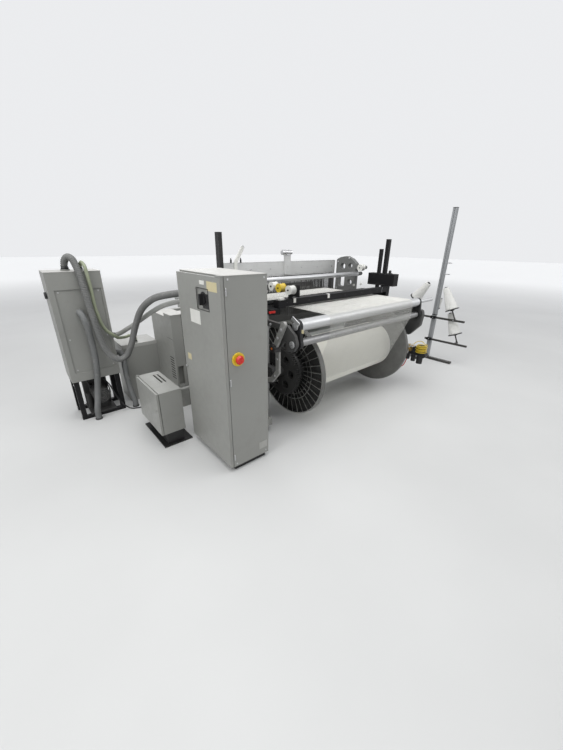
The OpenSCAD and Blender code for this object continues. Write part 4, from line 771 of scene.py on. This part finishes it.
def make_fasteners():
    bolts("frame_bolts",
          flush(910, RIGHT, 12, (-90, 440), (-90, 520), (-470, 120), (-470, 920), (700, 940), (960, 700))
          + flush(-960, LEFT, 11, (-470, 130), (-500, 700), (700, 40), (680, 60), (960, 700), (960, 500)))
    bolts("gear_case_bolts",
          flush(-1130, LEFT, 9, (-35, 125), (130, 115), (290, 115), (450, 115), (610, 125), (612, 400),
                (612, 670), (500, 870), (340, 876), (180, 870), (60, 740), (-34, 590), (-36, 350))
          + [(place, LEFT, 8) for place in around((-1200, 200, 420), 122, 8, 0.2)])
    bolts("cover_screws",
          flush(1100, RIGHT, 7, (-20, 80), (580, 80), (580, 790), (-20, 790), (280, 60), (280, 850)))
    bolts("bracket_bolts",
          flush(-985, LEFT, 9, (-425, 970), (-475, 970), (-720, 962), (-835, 935))
          + flush(860, RIGHT, 10, (-560, 850), (-560, 940), (-700, 930))
          + flush(-1120, LEFT, 7, (-418, 389), (-238, 389), (-418, 569), (-238, 569)))
    bolts("casting_bolts",
          flush(800, LEFT, 8, (-100, 1020), (150, 1020), (150, 1340), (-20, 1385)))
    fins = Shape().turned((-1040, -328, 759), UP, [(0, 40), (3, 40), (10, 34), (13, 20)], 32)
    fins.each([(-1040, -328, 620 + 17 * k) for k in range(7)], UP,
              [(0, 62.3), (0, 66), (5, 66), (5, 62.3)], 40, True).done("let_off_fins", "cover_paint")


# ---- stop motion, healds and reed
def make_droppers():
    """Thin drop wires between the coarse ones, one plate for each few ends."""
    rng = random.Random(31)
    shape = Shape()
    for row in range(4):
        y = -503 + 35 * row
        for k in range(118):
            x = -620 + 10.5 * (k + 0.5) + rng.uniform(-1.2, 1.2)
            drop = rng.uniform(-1.5, 1.5)
            shape.box((x - 0.4, y - 4.5, 946 + drop), (x + 0.4, y + 4.5, 1086 + drop))
    shape.done("drop_plates", "wires", angle=30)
    boxes("bar_tags", "white_plastic", 0.6,
          *(((x - 14, -587, 1070), (x + 14, -563, 1107.5)) for x in (-612, -180)))
    bolts("bar_bolts", [((x, -585, 1078), FRONT, 5) for x in (-700, -440, 60, 330, 600, 830)],
          "black_plastic")
    boxes("bar_seams", "steel", 0,
          *(((x, -585.4, 1051), (x + 1.2, -534.6, 1105.9)) for x in (-718, -715, 700, 704)))


def make_healds():
    """Thin wire healds, with the eye each end runs through, between the rails of every frame."""
    rng = random.Random(41)
    for i in range(4):
        y = 190 + 16 * i
        shape = Shape()
        for k in range(124):
            x = -618 + 10 * (k + 0.15 + 0.18 * i) + rng.uniform(-1.0, 1.0)
            shape.box((x - 0.55, y - 0.5, 752), (x + 0.55, y + 0.5, 1212))
            shape.box((x - 1.3, y - 0.9, 1022), (x + 1.3, y + 0.9, 1040))
        # the healds' dark finish is painted shade
        shape.done("healds_%d" % (i + 1), "heald_wire", "heald_%d" % (i + 1), angle=30)
    rail = Shape()
    for z in (1222, 1352):
        rail.box((-830, 183.2, z), (780, 184.2, z + 2))
    rail.each([(x, 184.5, 1290) for x in (-780, -520, -260, 200, 460, 720)], FRONT,
              [(0, 9), (2, 9), (3, 7.5)], 20)
    rail.done("rail_trim", "steel", "heald_1")
    bent = [(-682, 1290), (-682, 1354), (-597, 1490), (-627, 1510), (-718, 1371), (-718, 1290)]
    Shape().rings([[(x, y, z) for x, z in bent] for y in (172.8, 184.6)]).done(
        "rail_bracket", "white_plastic", "heald_1", 1.5)
    pins = Shape().each([(-752, 178, 1359), (-640, 178, 1359)], UP,
                        [(0, 9), (30, 9), (31, 5), (44, 5), (45, 3)], 14)
    for k in range(60):
        x = -800 + 26 * k
        pins.box((x, 182.6, 1203), (x + 15, 184, 1211))
    pins.done("rail_pins", "black_plastic", "heald_1", angle=30)
    tube = [(0, 18), (2, 21), (84, 21), (86, 25), (98, 25), (100, 21), (116, 21), (118, 27), (136, 27),
            (139, 22), (142, 8)]
    Shape().turned((20, 166, 1452), LEFT, tube, 32).box((-58, 152, 1420), (-12, 158.2, 1452)).done(
        "pillar_head", "steel", "heald_1")
    sleeve = [(0, 15.3), (0, 22), (3, 24), (1589, 24), (1592, 22), (1592, 15.3)]
    Shape().turned((-802, -170, 1218), RIGHT, sleeve, 40, True).done("tube_sleeve", "polished")
    lo, hi = box_mm("reed")
    dents, count = Shape(), 300
    for k in range(count):
        x = -640 + 1280 * (k + 0.5) / count
        dents.box((x - 0.35, lo.y + 1, lo.z + 12), (x + 0.35, hi.y - 1, hi.z - 12))
    dents.done("reed_dents", "wires", "sley_and_reed", angle=30)


# ---- creel and spools
# Each cone: where its yarn starts, its spindle's foot, its length and its disc's radius
CONES = [((2050, -314, 840), (2050, -164, 624), 264, 85), ((2013, -857, 752), (2013, -921, 624), 300, 85),
         ((2085, -937, 420), (2085, -984, 312), 291, 85), ((2110, -628, 735), (2110, -603, 624), 126, 27.2)]


def make_creel():
    rng = random.Random(51)
    yarns, tips, discs = Shape(), Shape(), Shape()
    for base, foot, length, disc in CONES:
        start = Vector(base)
        way = (start - Vector(foot)).normalized()
        low, high = disc * 0.9, disc * 0.42 + 2
        profile = [(2, 7), (2, low - 5), (4.5, low - 1.5)]
        steps = max(12, int(length / 5))
        for k in range(steps + 1):
            t = k / steps
            profile.append((8 + (length - 16) * t, low + (high - low) * t - 0.4 + rng.uniform(-0.35, 0.35)))
        profile += [(length - 3.5, high - 2.5), (length - 1.5, high - 6), (length - 1.5, 7)]
        yarns.turned(start, way, profile, 56, True)
        tips.turned(start + way * (length - 1.5), way,
                    [(0, high * 0.62), (5, high * 0.6), (9, high * 0.42), (10.5, 7.5)], 32)
        plate = [(0, disc - 3), (0, disc + 0.6), (3, disc + 1.4), (6.5, disc + 1.4), (9.9, disc + 0.6),
                 (9.9, disc - 3)]
        discs.turned(start - way * 9.6, way, plate, 56, True)
        discs.turned(start - way * 20, way, [(0, 10), (0, 22), (8, 24), (10.6, 24), (10.6, 10)], 32, True)
    yarns.done("cone_yarn", "cone_yarn", replaces=("weft_cones",), angle=50)
    tips.done("cone_tips", "black_plastic")
    discs.done("cone_discs", "black_plastic")
    guides = Shape()
    for z in (1190, 1330):
        guides.turned((2050, -653, z), FRONT,
                      [(0, 10), (4, 10), (5, 6), (52, 6), (53, 8), (60, 8), (62, 6)], 20)
        guides.turned((2050, -715, z - 3), UP, [(0, 9), (0, 13), (6, 13), (6, 9)], 24, True)
    guides.done("creel_guides", "steel")
    boxes("post_caps", "black_plastic", 1.5, ((2024, -656, 1976), (2076, -604, 1983)),
          ((2024, -656, 640), (2076, -604, 652)))
    boxes("creel_clamps", "black_paint", 1.2, ((1996, -664, 594), (2027, -596, 630)),
          ((1996, -664, 282), (2027, -596, 318)))
    bolts("creel_bolts", flush(2001, LEFT, 7, (-630, 612), (-630, 300), (-904, 612)))


def make_spools():
    rng = random.Random(61)
    boxes("spool_plate", "black_paint", 4.0, ((-650, -674, 1128), (-637, -596, 1226)),
          ((-650, -400, 1158), (-637, -352, 1228)))
    for name, body, place, finish in (("spool_yarn_1", "left_spool_1", (-709, -384, 1193), "cone_yarn"),
                                      ("spool_yarn_2", "left_spool_2", (-709, -481, 1188), "yellow_yarn"),
                                      ("spool_yarn_3", "left_spool_3", (-709, -608, 1183), "cone_yarn"),
                                      ("spool_yarn_far", "far_spool", (739, -232, 1290), "cone_yarn")):
        profile = [(5, 27.5)] + [(5 + 2 * k, 33.5 + rng.uniform(-0.4, 0.4)) for k in range(26)] + [(55, 27.5)]
        Shape().turned(place, RIGHT, profile, 48, True).done(name, finish, body, angle=50)


# ---- ends of the backrest and the right side
def make_ends():
    """Collars, clamp, spring knob and marks at the backrest's left end."""
    knob_y, knob_z = KNOB
    collars = Shape()
    collars.turned((-944, *WHIP), LEFT, [(0.2, 9), (0.2, 28), (3, 30), (8, 30), (10, 27), (10, 9)], 32, True)
    collars.turned((-988, *GUIDE), LEFT, [(0, 8), (0, 26), (6, 26), (8, 23), (8, 8)], 32, True)
    collars.done("roll_collars", "polished", "backrest")
    a, b = Vector((-972, -955, 1052)), Vector((-972, -1028, 1014))
    way = (b - a).normalized()
    side = Vector((0, -way.z, way.y)) * 13
    corners = [a + side, b + side, b - side, a - side]
    Shape().rings([[c + Vector((x, 0, 0)) for c in corners] for x in (0, -8)]).done(
        "roll_clamp", "polished", "backrest", 2.0)
    Shape().each(around((-1030, *KNOB), 29, 8), RIGHT, [(0, 5), (2, 7), (40, 7), (42, 5)], 14).turned(
        (-1029.5, *KNOB), LEFT, [(0, 26), (3, 25), (4, 22)], 36).done("tension_knob", "black_plastic")
    # painted highlight: a small orange disc on the knob's face for its orange glint
    Shape().turned((-1033.5, *KNOB), LEFT, [(0, 9), (1.5, 9), (2.2, 7)], 24).done("knob_glint", "orange")
    lever = [((-1013, knob_y - 103 * t, knob_z + 199 * t), LEFT, 9) for t in (0.45, 0.8)]
    bolts("lever_bolts", lever + flush(-980, LEFT, 8, (-797, 700), (-770, 550), (-560, 462), (-520, 462)),
          "polished")
    boxes("red_stop", "red", 1.5, ((-905, -607, 1013), (-842, -600, 1031)))
    boxes("bar_plug", "white_plastic", 2.0, ((-786, -598, 1105.6), (-738, -566, 1124)))
    marks, count = Shape(), 16
    rng = random.Random(91)
    for k in range(count):
        a, x = rng.uniform(0, 2 * math.pi), -860 + 1600 * (k + rng.random()) / count
        way = Vector((0, math.cos(a), math.sin(a)))
        size = rng.uniform(1.6, 3.6)
        marks.turned(Vector((x, *WHIP)) + way * 43.6, way, [(0, size), (0.65, size * 0.9)], 8)
    marks.done("roll_marks", "black_plastic", "whip")
    boxes("roll_tag", "tape", 0.4, ((-946, -1043, 948), (-943.5, -1024, 974)), body="backrest")


def make_flange_edges():
    """Bright worn edges on the ribs, rings and rims of both beam flanges."""
    ribs = 36
    for name, side in (("flange_edges_left", -1), ("flange_edges_right", 1)):
        shape = Shape()
        rng = random.Random(81)
        for k in range(ribs):
            a = 2 * math.pi * k / ribs + (math.pi if side > 0 else 0)
            out, across = Vector((0, math.cos(a), math.sin(a))), Vector((0, -math.sin(a), math.cos(a)))
            mid = Vector((side * 664.6, *BEAM))
            near, far, half = 192 + rng.uniform(0, 10), 417, 2.4
            ring = [mid + out * near - across * half, mid + out * far - across * half,
                    mid + out * far + across * half, mid + out * near + across * half]
            shape.rings([[v + Vector((side * d, 0, 0)) for v in ring] for d in (0, 1.5)])
        for r0, r1, x in ((285.6, 291.8, 659.6), (240.6, 244.8, 655.6), (418.6, 429.6, 671.6)):
            shape.turned((side * x, *BEAM), (side, 0, 0), [(0, r0), (1.0, r0), (1.0, r1), (0, r1)], 120, True)
        shape.done(name, "rib_metal", "warp_beam", angle=30)


def make_air():
    """The valve's coil and block, and the lines that run from it."""
    turns, steps = 8, 28
    path = []
    for k in range(turns * steps + 1):
        a = 2 * math.pi * k / steps
        wide = 51 + 7 * math.sin(3.1 * a / turns)
        path.append((880 + wide * math.cos(a), -1060 + wide * math.sin(a), 440 + 84 * (k / (turns * steps))))
    tail = [path[-1], (934, -1030, 545), (915, -990, 540), (892, -950, 498)]
    Shape().tube(path, 3.4, 8).tube(smooth_path(tail, 6), 3.4, 8).done("air_coil", "yellow")
    Shape().box((846, -958, 432), (914, -890, 486)).box((856, -950, 486), (904, -898, 500)).each(
        [(846, -940, 458), (846, -908, 458)], LEFT, [(0, 11), (3, 11), (3, 8), (18, 8), (20, 6.5)], 6).done(
        "air_block", "brass", bevel=2.0)
    lines = Shape()
    rng = random.Random(71)
    for k in range(12):
        y = -760 + 14 * k
        end = (842 + rng.uniform(-10, 24), -930 + 22 * k * 0.55, 500 + rng.uniform(-30, 26))
        path = [(852 + rng.uniform(-8, 8), y, 402),
                (846 + rng.uniform(-26, 6), y - rng.uniform(10, 60), 470 + rng.uniform(0, 60)),
                (840 + rng.uniform(-20, 10), (y + end[1]) / 2, 560 + rng.uniform(-30, 40)), end]
        lines.tube(smooth_path(path, 14), rng.choice((2.4, 3.0, 3.6)), 7)
    lines.done("air_lines", "black_plastic")
    white = Shape()
    for k in range(5):
        y = -740 - 46 * k
        path = [(866 - 4 * k, y, 400), (838, y - 30, 470 + 8 * k), (826 + 3 * k, y - 80, 520),
                (842, y - 110 + 10 * k, 500), (850, -940, 470 + 4 * k)]
        white.tube(smooth_path(path, 12), 4.2, 9)
    white.done("air_lines_white", "white_plastic")
    path = [(880, -700, 330), (852, -730, 270), (846, -800, 210), (862, -880, 230), (880, -915, 329)]
    Shape().tube(smooth_path(path, 12), 5, 10).done("air_line_red", "red")


def make_right_end():
    make_air()
    Shape().each([(800, -232, 1296), (800, -229, 1102), (800, -128, 1081)], LEFT,
                 [(0, 7), (0, 13), (5, 14), (8, 12), (8, 7)], 28, True).done("yarn_eyes", "white_plastic")
    Shape().box((860, -566, 1235), (902, -524, 1243)).turned(
        (881, -545, 1243), UP, [(0, 15), (24, 15), (30, 10)], 24).done(
        "box_switch", "black_plastic", bevel=1.0)
    boxes("box_lip", "dark_paint", 1.2, ((853, -622, 1226), (949, -278, 1230)),
          ((853, -622, 1112), (949, -278, 1116)))
    for name, start, step in (("temple_rings_left", -613, 13), ("temple_rings_right", 613, -13)):
        Shape().each([(start + step * k, 566, 1051) for k in range(12)], RIGHT,
                     [(0, 12), (0, 14.2), (4, 14.8), (8, 14.2), (8, 12)], 28, True).done(name, "steel")


# ---- studio
LAMPS = (("lamp_over", (-1.0, -1.0, 5.2), 5.0, 185), ("lamp_left", (-5.5, -1.5, 3.8), 3.5, 95),
         ("lamp_right", (4.5, -4.5, 4.2), 3.5, 75), ("lamp_far", (0.5, 5.0, 4.4), 4.0, 75))
SKY = (0.97, 0.98, 1.0, 1)


def make_floor():
    """A pale floor that glows softly far out, so that it meets the backdrop without a dark band."""
    bpy.ops.mesh.primitive_plane_add(size=90, location=(0, 0, 0))
    floor = bpy.context.object
    floor.name = "floor"
    n = Look("floor")
    colour = n.mix(n.spots((0.6, 4)), (0.62, 0.625, 0.62), (0.68, 0.685, 0.68))
    away = n.put(n.add("ShaderNodeVectorMath", operation="LENGTH"), {0: n.place}).outputs["Value"]
    glow = n.math("MULTIPLY", n.seen(), n.ramp(away, 3.5, 16.0, 0.0, 0.55))
    n.put(n.shader, {"Emission Color": SKY, "Emission Strength": glow})
    floor.data.materials.append(n.finish(colour, 0.55, n.noise(60, 3), 0.05, 0.001))


def make_studio():
    make_floor()
    scene.world = bpy.data.worlds.new("world")
    n = Nodes(scene.world)
    n.put(n.tree.nodes["Background"], {"Color": SKY, "Strength": n.ramp(n.seen(), 0.0, 1.0, 0.42, 0.86)})
    aim = Vector((0, 0, 0.6))
    for name, place, size, power in LAMPS:
        data = bpy.data.lights.new(name, "AREA")
        data.shape, data.size, data.energy = "DISK", size, power
        lamp = bpy.data.objects.new(name, data)
        scene.collection.objects.link(lamp)
        lamp.location = place
        lamp.rotation_euler = (aim - Vector(place)).to_track_quat("-Z", "Y").to_euler()
    scene.view_settings.view_transform = "Standard"


make_camera()
make_hoses()
make_studio()
dress_nodes()
make_warp()
make_packages()
make_cloth()
make_cabinets()
make_stand()
make_fasteners()
make_droppers()
make_healds()
make_creel()
make_spools()
make_ends()
make_flange_edges()
make_right_end()
